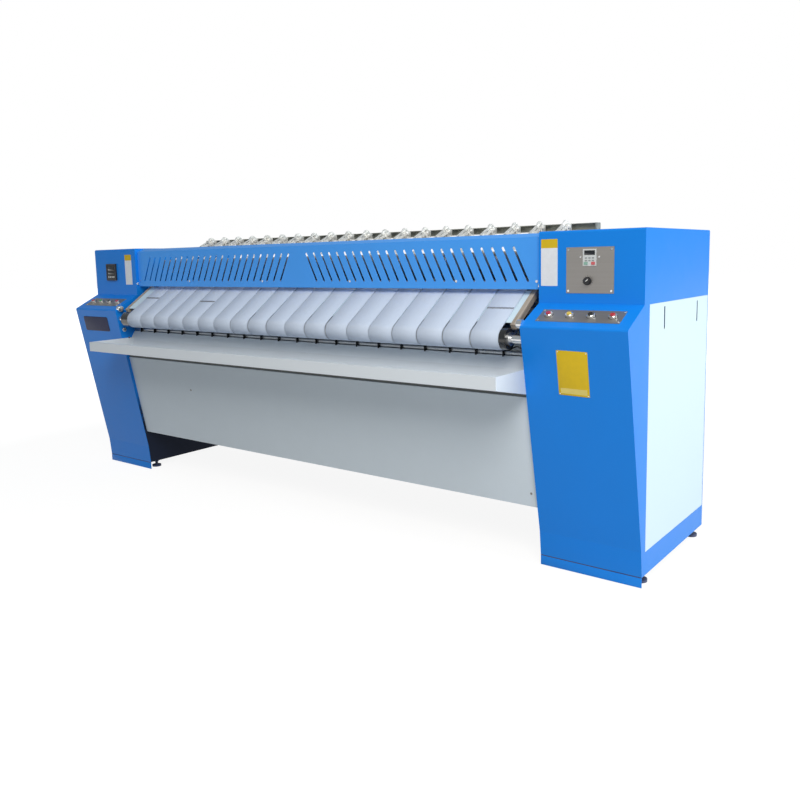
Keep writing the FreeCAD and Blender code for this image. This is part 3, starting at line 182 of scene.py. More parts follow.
class Shader(Nodes):
    """Builds one material's node tree."""

    def __init__(self, name: str) -> None:
        """Makes an empty node material.

        Args:
            name: the material's name.
        """
        self.material = bpy.data.materials.new(name)
        self.material.use_nodes = True
        super().__init__(self.material.node_tree)
        self.object_place = self.node("ShaderNodeTexCoord").outputs["Object"]

    def axis(self, index: int) -> Wire:
        """One axis of the Object coordinates, in metres."""
        split = self.node("ShaderNodeSeparateXYZ", None, {0: self.object_place})
        return Wire(self, split.outputs[index])

    def cloth_axis(self, index: int) -> Wire:
        """One axis of the piece's own UV map, in metres."""
        split = self.node("ShaderNodeSeparateXYZ", None, {0: self.node("ShaderNodeUVMap").outputs[0]})
        return Wire(self, split.outputs[index])

    def stretched(self, stretch: Sequence[float], turn: Sequence[float] = (0.0, 0.0, 0.0),
                  source: bpy.types.NodeSocket | None = None) -> bpy.types.NodeSocket:
        """Coordinates scaled and turned by a Mapping node.

        Args:
            stretch: scale along each axis.
            turn: rotation about each axis, in radians.
            source: what is mapped, or the Object coordinates.

        Returns:
            The mapped vector.
        """
        shrink = tuple(1 / factor for factor in stretch)
        inputs = {"Vector": source or self.object_place, "Scale": shrink, "Rotation": turn}
        return self.node("ShaderNodeMapping", {"vector_type": "TEXTURE"}, inputs).outputs[0]

    def noise(self, scale: float, detail: float = 2.0, roughness: float = 0.5,
              source: bpy.types.NodeSocket | None = None) -> Wire:
        """Noise from 0 to 1.

        Args:
            scale: features in a metre.
            detail: octaves.
            roughness: strength of the finer octaves.
            source: coordinates, or the Object coordinates.

        Returns:
            The noise's value.
        """
        inputs = {"Vector": source or self.object_place, "Scale": scale, "Detail": detail,
                  "Roughness": roughness}
        return Wire(self, self.node("ShaderNodeTexNoise", None, inputs).outputs[0])

    def cells(self, scale: float, feature: str = "F1") -> bpy.types.Node:
        """A Voronoi texture with that many cells in a metre."""
        inputs = {"Vector": self.object_place, "Scale": scale}
        return self.node("ShaderNodeTexVoronoi", {"feature": feature}, inputs)

    def mix(self, first: Any, second: Any, factor: Any) -> bpy.types.NodeSocket:
        """Mixes two colours.

        Args:
            first: colour at factor 0.
            second: colour at factor 1.
            factor: a number or wire.

        Returns:
            The mixed colour.
        """
        made = self.node("ShaderNodeMix", {"data_type": "RGBA"}, {0: factor, 6: first, 7: second})
        return made.outputs[2]

    def shaded(self, colour: Any, strength: Any) -> bpy.types.NodeSocket:
        """A colour made lighter or darker by a number or wire."""
        source = colour if isinstance(colour, bpy.types.NodeSocket) else self.mix(colour, colour, 0.0)
        made = self.node("ShaderNodeVectorMath", {"operation": "SCALE"}, {0: source, "Scale": strength})
        return made.outputs[0]

    def bump(self, height: Any, depth: float, strength: float = 1.0,
             under: bpy.types.NodeSocket | None = None) -> bpy.types.NodeSocket:
        """A bumped normal.

        Args:
            height: wire from 0 to 1.
            depth: real height of the bumps in metres.
            strength: from 0 to 1.
            under: another bump's normal that this one goes on.

        Returns:
            The normal.
        """
        inputs = {"Height": height, "Distance": depth, "Strength": strength}
        if under is not None:
            inputs["Normal"] = under
        return self.node("ShaderNodeBump", None, inputs).outputs[0]

    def surface(self, colour: Any, roughness: Any, normal: Any = None,
                **others: Any) -> bpy.types.Material:
        """Ends the tree in a Principled shader.

        Args:
            colour: base colour.
            roughness: number or wire.
            normal: bumped normal, or None.
            others: more sockets, with _ for a space in their names.

        Returns:
            The finished material.
        """
        inputs = {"Base Color": colour, "Roughness": roughness}
        inputs |= {key.replace("_", " "): value for key, value in others.items()}
        if normal is not None:
            inputs["Normal"] = normal
        shader = self.node("ShaderNodeBsdfPrincipled", None, inputs)
        self.node("ShaderNodeOutputMaterial", None, {0: shader.outputs[0]})
        return self.material


# ------------------------------------------------------------------ finishes
@dataclass(frozen=True)
class Paint:
    """Powder coat on folded sheet: orange peel, slow tone changes, and a tint towards the floor: dust on most
    finishes, a painted floor reflection on the cabinet blue, painted shade on the inner blue.
    """

    name: str
    colour: Colour
    roughness: float = 0.36
    tone: float = 0.05
    peel: float = 0.00012
    # Colour mixed in towards the floor: dust by default, a painted floor reflection on the cabinet blue,
    # painted shade on the inner blue.
    dust: Colour = (0.45, 0.42, 0.38)
    dust_and_painted_light_height: float = 0.10
    dust_and_painted_light_share: float = 0.35
    shine: float = 0.22

    def make(self) -> bpy.types.Material:
        """Builds the material."""
        shader = Shader(self.name)
        slow = shader.noise(0.9, 1.0)
        smudge = shader.noise(9.0, 4.0, 0.6)
        peel = shader.noise(420.0, 1.0)
        low = 1 - shader.axis(2).between(0.0, self.dust_and_painted_light_height)
        # Mask towards the floor: dust, and on the cabinet and inner blues a painted floor reflection and
        # painted shade.
        dust_and_painted_light = (low * (smudge.between(0.35, 0.75) * 0.65 + 0.35) * self.dust_and_painted_light_share).between(0.0, 1.0)
        tone = 1 + (slow - 0.5) * (2 * self.tone) + (smudge - 0.5) * self.tone
        colour = shader.mix(shader.shaded(self.colour, tone), self.dust, dust_and_painted_light)
        roughness = self.roughness + (smudge - 0.5) * 0.10 + dust_and_painted_light * 0.3
        normal = shader.bump(peel, self.peel, 0.35)
        return shader.surface(colour, roughness, normal, Specular_IOR_Level=self.shine, Coat_Weight=0.06,
                              Coat_Roughness=0.25)


class Grain(Enum):
    """Which way a metal is brushed."""

    ALONG_X = (1.5, 260.0, 260.0)
    ALONG_Z = (260.0, 260.0, 1.5)
    ROUND_X = (900.0, 0.4, 0.4)


@dataclass(frozen=True)
class Steel:
    """Brushed or turned steel: fine lines one way and slow stains."""

    name: str
    colour: Colour
    roughness: float
    grain: Grain
    stain: Colour = (0.30, 0.25, 0.20)
    stain_share: float = 0.25
    line_depth: float = 0.00004
    metallic: float = 0.92

    def make(self) -> bpy.types.Material:
        """Builds the material."""
        shader = Shader(self.name)
        lines = shader.noise(1.0, 3.0, 0.6, shader.stretched(self.grain.value))
        slow = shader.noise(6.0, 4.0, 0.55)
        stained = slow.between(0.48, 0.80) * self.stain_share
        tone = 0.90 + lines * 0.20
        colour = shader.mix(shader.shaded(self.colour, tone), self.stain, stained)
        roughness = self.roughness + (lines - 0.5) * 0.16 + (slow - 0.5) * 0.14
        normal = shader.bump(lines, self.line_depth, 0.5)
        return shader.surface(colour, roughness, normal, Metallic=self.metallic)


@dataclass(frozen=True)
class Zinc:
    """Galvanised steel: soft spangle, dull patches, and a touch of yellow passivation."""

    name: str
    colour: Colour = (0.95, 0.95, 0.93)
    yellow: Colour = (0.52, 0.46, 0.32)
    spangle: float = 60.0

    def make(self) -> bpy.types.Material:
        """Builds the material."""
        shader = Shader(self.name)
        cell = shader.cells(self.spangle).outputs["Color"]
        split = shader.node("ShaderNodeSeparateColor", None, {0: cell})
        flake = Wire(shader, split.outputs[0])
        patch = shader.noise(14.0, 4.0, 0.6)
        fine = shader.noise(700.0, 2.0)
        tone = 0.88 + flake * 0.20
        colour = shader.mix(shader.shaded(self.colour, tone), self.yellow, patch.between(0.5, 0.85) * 0.3)
        roughness = 0.38 + flake * 0.16 + (patch - 0.5) * 0.20
        normal = shader.bump(fine, 0.00006, 0.5)
        return shader.surface(colour, roughness, normal, Metallic=0.55)


@dataclass(frozen=True)
class WovenBelt:
    """Tight plain weave on a belt's own UV map: threads, darker edges, faint wear lines lengthways."""

    name: str
    colour: Colour
    shade: Colour
    thread: float = 0.0016
    half_width: float = 0.0595

    def make(self) -> bpy.types.Material:
        """Builds the material."""
        shader = Shader(self.name)
        across, along = shader.cloth_axis(0), shader.cloth_axis(1)
        turn = 2 * math.pi / self.thread
        warp = (across * turn).sine()
        weft = (along * turn).sine()
        weave = warp * weft * 0.5 + 0.5
        uv = shader.node("ShaderNodeUVMap").outputs[0]
        streak = shader.noise(1.0, 3.0, 0.6, shader.stretched((160.0, 0.7, 1.0), source=uv))
        patch = shader.noise(2.2, 3.0, 0.55)
        edge = across.size().between(self.half_width - 0.005, self.half_width)
        tone = 0.93 + streak * 0.08 + (weave - 0.5) * 0.06 + (patch - 0.5) * 0.08
        grubby = edge * 0.45 + patch.between(0.55, 0.9) * 0.2
        colour = shader.mix(shader.shaded(self.colour, tone), self.shade, grubby)
        roughness = 0.78 + (streak - 0.5) * 0.12
        normal = shader.bump(weave, 0.00025, 0.6)
        return shader.surface(colour, roughness, normal, Sheen_Weight=0.15, Sheen_Roughness=0.5)


@dataclass(frozen=True)
class Felt:
    """Needled felt: matted fibres, lighter rubbed streaks along the belt, scorched patches."""

    name: str
    colour: Colour
    scorch: Colour

    def make(self) -> bpy.types.Material:
        """Builds the material."""
        shader = Shader(self.name)
        uv = shader.node("ShaderNodeUVMap").outputs[0]
        fibre = shader.noise(1.0, 5.0, 0.75, shader.stretched((1800.0, 600.0, 1.0), source=uv))
        streak = shader.noise(1.0, 3.0, 0.5, shader.stretched((90.0, 0.9, 1.0), source=uv))
        patch = shader.noise(3.0, 3.0, 0.6)
        tone = 0.80 + streak * 0.30 + (fibre - 0.5) * 0.25
        colour = shader.mix(shader.shaded(self.colour, tone), self.scorch, patch.between(0.45, 0.8) * 0.5)
        normal = shader.bump(fibre, 0.0006, 0.7)
        return shader.surface(colour, 0.92 + (fibre - 0.5) * 0.1, normal, Sheen_Weight=0.3)


@dataclass(frozen=True)
class Plastic:
    """Moulded plastic: fine grain, small changes of gloss, a little dust."""

    name: str
    colour: Colour
    roughness: float = 0.45
    grain: float = 1600.0
    grain_depth: float = 0.00005
    coat: float = 0.0
    dust: Colour = (0.5, 0.48, 0.45)

    def make(self) -> bpy.types.Material:
        """Builds the material."""
        shader = Shader(self.name)
        grain = shader.noise(self.grain, 2.0, 0.6)
        smudge = shader.noise(40.0, 4.0, 0.6)
        tone = 0.92 + smudge * 0.16
        colour = shader.mix(shader.shaded(self.colour, tone), self.dust, smudge.between(0.6, 0.9) * 0.08)
        roughness = self.roughness + (smudge - 0.5) * 0.18 + (grain - 0.5) * 0.06
        normal = shader.bump(grain, self.grain_depth, 0.5)
        return shader.surface(colour, roughness, normal, Coat_Weight=self.coat, Coat_Roughness=0.08)


@dataclass(frozen=True)
class Casting:
    """Painted casting: sandy skin under thick paint, with oil-dark patches."""

    name: str
    colour: Colour
    grease: Colour = (0.02, 0.018, 0.015)

    def make(self) -> bpy.types.Material:
        """Builds the material."""
        shader = Shader(self.name)
        sand = shader.noise(260.0, 3.0, 0.7)
        lumps = shader.noise(35.0, 2.0)
        oil = shader.noise(8.0, 4.0, 0.6).between(0.55, 0.8)
        colour = shader.mix(shader.shaded(self.colour, 0.85 + sand * 0.3), self.grease, oil * 0.5)
        roughness = 0.50 + (sand - 0.5) * 0.2 - oil * 0.18
        normal = shader.bump(sand, 0.0004, 0.6, shader.bump(lumps, 0.0012, 0.4))
        return shader.surface(colour, roughness, normal)


@dataclass(frozen=True)
class Rubber:
    """Ribbed rubber or rubber-coated cloth with a chalky bloom."""

    name: str
    colour: Colour
    bloom: Colour = (0.16, 0.15, 0.14)

    def make(self) -> bpy.types.Material:
        """Builds the material."""
        shader = Shader(self.name)
        pores = shader.noise(900.0, 2.0, 0.7)
        chalk = shader.noise(22.0, 4.0, 0.65).between(0.45, 0.8)
        colour = shader.mix(shader.shaded(self.colour, 0.8 + pores * 0.4), self.bloom, chalk * 0.45)
        return shader.surface(colour, 0.66 + chalk * 0.2, shader.bump(pores, 0.00015, 0.6))


@dataclass(frozen=True)
class Wood:
    """Planed rail: long grain along the table's slope, with darker late wood."""

    name: str
    light: Colour
    dark: Colour
    slope: float

    def make(self) -> bpy.types.Material:
        """Builds the material."""
        shader = Shader(self.name)
        flat = shader.stretched((1.0, 1.0, 1.0), (self.slope, 0.0, 0.0))
        grain = shader.noise(1.0, 4.0, 0.65, shader.stretched((140.0, 5.0, 140.0), source=flat))
        pores = shader.noise(1.0, 2.0, 0.6, shader.stretched((1300.0, 40.0, 1300.0), source=flat))
        colour = shader.mix(self.light, self.dark, grain.between(0.35, 0.7))
        normal = shader.bump(pores, 0.0003, 0.5)
        return shader.surface(colour, 0.62 + (grain - 0.5) * 0.2, normal)


@dataclass(frozen=True)
class Film:
    """Printed film or thin painted plate with no print on it: slight ripples, soft dirt in patches."""

    name: str
    colour: Colour
    roughness: float = 0.30
    dirt: Colour = (0.30, 0.28, 0.25)

    def make(self) -> bpy.types.Material:
        """Builds the material."""
        shader = Shader(self.name)
        ripple = shader.noise(60.0, 1.0)
        dirt = shader.noise(120.0, 4.0, 0.65)
        base = shader.shaded(self.colour, 0.94 + ripple * 0.12)
        colour = shader.mix(base, self.dirt, dirt.between(0.62, 0.9) * 0.25)
        roughness = self.roughness + (dirt - 0.5) * 0.2
        normal = shader.bump(ripple, 0.0002, 0.4)
        return shader.surface(colour, roughness, normal, Coat_Weight=0.08, Coat_Roughness=0.25)


@dataclass(frozen=True)
class DarkGlass:
    """Display window: near-black glass with faint smears."""

    name: str
    colour: Colour = (0.006, 0.007, 0.010)

    def make(self) -> bpy.types.Material:
        """Builds the material."""
        shader = Shader(self.name)
        smear = shader.noise(90.0, 3.0, 0.6)
        colour = shader.shaded(self.colour, 0.7 + smear * 0.6)
        roughness = 0.06 + smear.between(0.4, 0.9) * 0.16
        normal = shader.bump(smear, 0.00002, 0.3)
        return shader.surface(colour, roughness, normal, Coat_Weight=0.8, Coat_Roughness=0.04)


@dataclass(frozen=True)
class PaleFloor:
    """White floor that keeps a soft shadow for the camera and shows as white in reflections."""

    name: str = "pale_floor"
    colour: Colour = (0.50, 0.49, 0.48)
    lit_share: float = 0.30
    whiteness: float = 1.30
    shadow_reach: float = 2.6

    @staticmethod
    def _distance(shader: Shader) -> Wire:
        """Distance from the middle of the floor."""
        made = shader.node("ShaderNodeVectorMath", {"operation": "LENGTH"}, {0: shader.object_place})
        return Wire(shader, made.outputs["Value"])

    def make(self) -> bpy.types.Material:
        """Builds the material."""
        shader = Shader(self.name)
        path = shader.node("ShaderNodeLightPath")
        seen = Wire(shader, path.outputs["Is Camera Ray"]) + Wire(shader, path.outputs["Is Glossy Ray"])
        seen = seen + Wire(shader, path.outputs["Is Transmission Ray"])
        tone = 0.98 + shader.noise(30.0, 2.0) * 0.04
        plain = shader.node("ShaderNodeBsdfDiffuse", None, {0: shader.shaded(self.colour, tone)})
        white = shader.node("ShaderNodeEmission", None, {0: (1.0, 1.0, 1.0), 1: self.whiteness})
        near = 1 - self._distance(shader).between(self.shadow_reach, 2.2 * self.shadow_reach)
        factor = seen.between(0.0, 1.0) * (1 - near * self.lit_share)
        parts = {0: factor, 1: plain.outputs[0], 2: white.outputs[0]}
        both = shader.node("ShaderNodeMixShader", None, parts)
        shader.node("ShaderNodeOutputMaterial", None, {0: both.outputs[0]})
        return shader.material


FEED_SLOPE = math.radians(35)


class Finishes:
    """Every finish on the machine, made once and handed to the pieces by name."""

    specs: tuple[Any, ...] = (
        # Its paler tint near the floor is a painted reflection of the floor on the low sheet.
        Paint("cabinet_blue", (0.006, 0.225, 0.78), dust=(0.04, 0.27, 0.76)),
        # Painted shade: the side frames turn near-black below half a metre, where shade falls under the
        # machine.
        Paint("inner_blue_painted_shade", (0.006, 0.235, 0.80), dust=(0.004, 0.010, 0.030), dust_and_painted_light_height=0.50,
              dust_and_painted_light_share=5.0),
        # A lighter copy of the cabinet blue for the front cover: painted light from above.
        Paint("cover_blue_painted_light", (0.070, 0.35, 0.92)),
        Paint("panel_white", (0.63, 0.77, 0.85), roughness=0.42, tone=0.02),
        Paint("panel_grey", (0.70, 0.78, 0.85), roughness=0.55, tone=0.05),
        Paint("trough_grey", (0.73, 0.78, 0.83), roughness=0.40, tone=0.05),
        Paint("frame_dark", (0.020, 0.024, 0.032), roughness=0.62),
        WovenBelt("feed_cloth", (0.60, 0.68, 0.82), (0.40, 0.46, 0.56)),
        Felt("ironing_cloth", (0.46, 0.42, 0.36), (0.22, 0.17, 0.12)),
        Steel("roll_steel", (0.62, 0.61, 0.58), 0.24, Grain.ROUND_X),
        Steel("roller_steel", (0.50, 0.51, 0.52), 0.30, Grain.ROUND_X),
        Zinc("galvanised"),
        Zinc("bar_zinc", (0.36, 0.37, 0.33)),
        Steel("stainless", (0.34, 0.32, 0.30), 0.42, Grain.ALONG_X, stain_share=0.12, metallic=0.75),
        Steel("chrome", (0.80, 0.80, 0.80), 0.14, Grain.ALONG_X, stain_share=0.08,
              line_depth=0.00001),
        Casting("cast", (0.10, 0.12, 0.14)),
        Steel("heater", (0.28, 0.26, 0.25), 0.50, Grain.ALONG_X, stain=(0.12, 0.07, 0.05),
              stain_share=0.5),
        Rubber("drive_rubber", (0.022, 0.022, 0.022)),
        Paint("foot_navy", (0.004, 0.03, 0.14), roughness=0.5),
        Paint("satin_black", (0.012, 0.012, 0.013), roughness=0.6),
        Wood("rail_wood", (0.50, 0.43, 0.35), (0.26, 0.21, 0.16), FEED_SLOPE),
        Plastic("black_plastic", (0.018, 0.018, 0.020)),
        Plastic("keypad_grey", (0.62, 0.64, 0.64), 0.40),
        Plastic("cap_red", (0.45, 0.02, 0.03), 0.22, coat=0.5),
        Plastic("cap_green", (0.03, 0.32, 0.10), 0.22, coat=0.5),
        Plastic("cap_yellow", (0.70, 0.50, 0.04), 0.22, coat=0.5),
        Plastic("cap_black", (0.016, 0.016, 0.016), 0.22, coat=0.5),
        Plastic("key_green", (0.26, 0.44, 0.36), 0.42),
        Plastic("key_red", (0.60, 0.12, 0.13), 0.42),
        Plastic("mark_white", (0.82, 0.82, 0.80), 0.40),
        Film("label_white", (0.78, 0.80, 0.84)),
        Film("label_yellow", (0.66, 0.45, 0.002), 0.60),
        Film("label_pale", (0.74, 0.60, 0.16), 0.45),
        Plastic("badge_navy", (0.003, 0.006, 0.045), 0.55),
        Plastic("key_grey", (0.26, 0.28, 0.29), 0.45),
        # Dark grey for the strip in the trough's gap: painted shadow.
        Rubber("gap_shadow_grey", (0.15, 0.16, 0.16)),
        DarkGlass("display_glass"),
        PaleFloor(),
    )

    def __init__(self) -> None:
        """Builds every material."""
        self.made = {spec.name: spec.make() for spec in self.specs}

    def __getitem__(self, name: str) -> bpy.types.Material:
        """The material of that name."""
        return self.made[name]


# ------------------------------------------------------------------ places
@dataclass(frozen=True)
class Face:
    """A flat face that runs along X: a point on it, and the angle at which it climbs towards the back."""

    y: float
    z: float
    angle: float

    def at(self, x: float, climb: float = 0.0, out: float = 0.0, turn: float = 0.0) -> Matrix:
        """A place on the face: local X is along the machine, local Y up the face, local Z out of it.

        Args:
            x: place along the machine.
            climb: distance up the face.
            out: distance out of it.
            turn: rotation in the face, in radians.

        Returns:
            The place as a matrix.
        """
        cos, sin = math.cos(self.angle), math.sin(self.angle)
        axes = Matrix(((1, 0, 0), (0, cos, -sin), (0, sin, cos))).to_4x4()
        point = Vector((x, self.y + climb * cos - out * sin, self.z + climb * sin + out * cos))
        return Matrix.Translation(point) @ axes @ Matrix.Rotation(turn, 4, "Z")

    def climb_to(self, z: float) -> float:
        """Distance up the face to a height above the floor."""
        return (z - self.z) / math.sin(self.angle)


def side_place(x: float, y: float, z: float, outward: int) -> Matrix:
    """A place whose local Z points along +X or -X.

    Args:
        x: place along the machine.
        y: place from front to back.
        z: height.
        outward: 1 for +X, -1 for -X.

    Returns:
        The place as a matrix.
    """
    return Matrix.Translation((x, y, z)) @ Matrix.Rotation(outward * math.pi / 2, 4, "Y")


@dataclass(frozen=True)
class Layout:
    """Places that several sub-assemblies share, in metres."""

    inner: float
    outer: float
    toe: float
    deck: Face
    box: Face
    slant: Face
    feed: Face

    @classmethod
    def from_frame(cls) -> "Layout":
        """Measures the frame's nodes and works the shared faces out from them."""
        shell_low, shell_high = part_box("right_cabinet_shell")
        cover_low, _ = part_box("front_cover")
        plate_low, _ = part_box("instrument_plate")
        nose, back = middle_of("nose_roller"), middle_of("rear_feed_roller")
        kink_z, deck_front_z, deck_back_z = 0.137, 0.950, 1.026
        kink_reach, deck_reach, deck_depth = 0.009, 0.166, 0.148
        slant_angle = math.atan2(deck_front_z - kink_z, kink_reach - deck_reach)
        return cls(
            inner=shell_low.x,
            outer=shell_high.x,
            toe=cover_low.y,
            deck=Face(shell_low.y, deck_front_z, math.atan2(deck_back_z - deck_front_z, deck_depth)),
            box=Face(plate_low.y + PLATE, deck_back_z, math.pi / 2),
            slant=Face(cover_low.y - kink_reach, kink_z, slant_angle),
            feed=Face(nose.y, nose.z, math.atan2(back.z - nose.z, back.y - nose.y)),
        )


def middle_of(node: str) -> Vector:
    """The middle of a node's box."""
    low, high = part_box(node)
    return (low + high) / 2


# ------------------------------------------------------------------ shapes
class Form:
    """One mesh in the making."""

    def __init__(self) -> None:
        """Starts with an empty mesh."""
        self.mesh = bmesh.new()

    @contextmanager
    def shape(self, *places: Matrix) -> Iterator[bmesh.types.BMesh]:
        """Lends an empty mesh to make one shape in, and then adds a copy of it at every place.

        Args:
            places: where the copies go, or none for one copy where it was made.

        Yields:
            The empty mesh.
        """
        shape = bmesh.new()
        yield shape
        for name in shape.loops.layers.uv.keys():
            if name not in self.mesh.loops.layers.uv:
                self.mesh.loops.layers.uv.new(name)
        data = bpy.data.meshes.new("shape")
        shape.to_mesh(data)
        shape.free()
        for place in places or (Matrix(),):
            data.transform(place)
            self.mesh.from_mesh(data)
            data.transform(place.inverted())
        bpy.data.meshes.remove(data)

    @staticmethod
    def _round(mesh: bmesh.types.BMesh, edges: Iterable[bmesh.types.BMEdge], radius: float,
               segments: int = 2) -> None:
        """Bevels edges round.

        Args:
            mesh: the mesh they are in.
            edges: the edges.
            radius: the bevel's width.
            segments: how many faces make the round.
        """
        chosen = list(edges)
        if chosen and radius > 0:
            bmesh.ops.bevel(mesh, geom=chosen, offset=radius, offset_type="OFFSET", segments=segments,
                            profile=0.5, affect="EDGES", clamp_overlap=True, material=-1)

    def plate(self, place: Matrix, width: float, height: float, thick: float, corner: float = 0.0,
              edge: float = 0.0) -> "Form":
        """Adds a flat plate that stands on the place's face, centred on it.

        Args:
            place: middle of its back.
            width: along local X.
            height: along local Y.
            thick: along local Z.
            corner: radius of its four corners.
            edge: radius of its front rim.

        Returns:
            This form.
        """
        with self.shape(place) as mesh:
            solid = Matrix.Translation((0, 0, thick / 2)) @ Matrix.Diagonal((width, height, thick, 1.0))
            bmesh.ops.create_cube(mesh, size=1.0, matrix=solid)
            self._round(mesh, [e for e in mesh.edges if abs(e.verts[1].co.z - e.verts[0].co.z) > thick / 2],
                        corner, 5)
            self._round(mesh, [e for e in mesh.edges if all(v.co.z > thick * 0.999 for v in e.verts)], edge)
        return self

    def rod(self, place: Matrix, radius: float, length: float, segments: int = 32, edge: float = 0.0,
            end: float | None = None) -> "Form":
        """Adds a round or many-sided bar along the place's local Z.

        Args:
            place: middle of its foot.
            radius: its radius, to the corners if it has few sides.
            length: its length.
            segments: its sides.
            edge: bevel of the far rim.
            end: radius at the far end, if it tapers.

        Returns:
            This form.
        """
        with self.shape(place) as mesh:
            bmesh.ops.create_cone(mesh, cap_ends=True, cap_tris=False, segments=segments, radius1=radius,
                                  radius2=radius if end is None else end, depth=length,
                                  matrix=Matrix.Translation((0, 0, length / 2)))
            self._round(mesh, [e for e in mesh.edges if all(v.co.z > length * 0.999 for v in e.verts)], edge)
        return self

    def turned(self, place: Matrix, profile: Sequence[tuple[float, float]], segments: int = 32) -> "Form":
        """Adds a turned shape about the place's local Z.

        Args:
            place: where its axis starts.
            profile: (radius, height) points from its foot to its top.
            segments: steps round.

        Returns:
            This form.
        """
        with self.shape(place) as mesh:
            verts = [mesh.verts.new((radius, 0.0, height)) for radius, height in profile]
            edges = [mesh.edges.new(pair) for pair in zip(verts, verts[1:])]
            bmesh.ops.spin(mesh, geom=verts + edges, cent=(0, 0, 0), axis=(0, 0, 1), angle=2 * math.pi,
                           steps=segments, use_merge=True)
            bmesh.ops.remove_doubles(mesh, verts=mesh.verts, dist=1e-6)
        return self

    def ring(self, place: Matrix, outside: float, inside: float, thick: float, segments: int = 32) -> "Form":
        """Adds a flat ring that stands on the place's face.

        Args:
            place: middle of its back.
            outside: outer radius.
            inside: inner radius.
            thick: its thickness.
            segments: steps round.

        Returns:
            This form.
        """
        chamfer = min(thick, outside - inside) * 0.2
        profile = [(inside, 0), (inside, thick), (outside - chamfer, thick), (outside, thick - chamfer),
                   (outside, 0), (inside, 0)]
        return self.turned(place, profile, segments)

    def socket_screw(self, place: Matrix, radius: float, height: float, segments: int = 20) -> "Form":
        """Adds a button-head screw with a round recess.

        Args:
            place: where its axis meets the face.
            radius: radius of its head.
            height: height of its head.
            segments: steps round.

        Returns:
            This form.
        """
        profile = [(radius, 0.0), (radius * 0.97, height * 0.35), (radius * 0.78, height * 0.8),
                   (radius * 0.45, height), (radius * 0.38, height * 0.96), (radius * 0.34, height * 0.35),
                   (0.0, height * 0.3)]
        return self.turned(place, profile, segments)

    def hex_head(self, place: Matrix, radius: float, height: float) -> "Form":
        """Adds a hexagon head or nut on a washer.

        Args:
            place: where its axis meets the face.
            radius: radius to its corners.
            height: height of the head above the washer.

        Returns:
            This form.
        """
        washer = radius * 0.16
        self.ring(place, radius * 1.22, radius * 0.45, washer, 20)
        return self.rod(place @ Matrix.Translation((0, 0, washer)), radius, height, 6, radius * 0.08)

    def finish(self, name: str, material: bpy.types.Material, body: str, slot: str | None = None,
               smooth: float = 32.0) -> bpy.types.Object:
        """Makes the object, shades it, dresses it and lets it ride on its body.

        Args:
            name: the piece's name.
            material: its finish.
            body: the CAD body it moves with.
            slot: the record's material slot, if it has one; not used.
            smooth: edges sharper than this many degrees stay sharp.

        Returns:
            The finished object.
        """
        bmesh.ops.recalc_face_normals(self.mesh, faces=self.mesh.faces)
        data = bpy.data.meshes.new(name)
        self.mesh.to_mesh(data)
        self.mesh.free()
        data.shade_smooth()
        data.set_sharp_from_angle(angle=math.radians(smooth))
        data.materials.append(material)
        piece = bpy.data.objects.new(name, data)
        bpy.context.scene.collection.objects.link(piece)
        if body:
            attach(piece, body)
        LOG.info("%s: %d faces on %s", name, len(data.polygons), body or "two bodies")
        return piece


# ------------------------------------------------------------------ belts
@dataclass(frozen=True)
class Wheel:
    """One roller that a belt runs round. The radius is negative where the belt's outer face bears on it."""

    y: float
    z: float
    radius: float


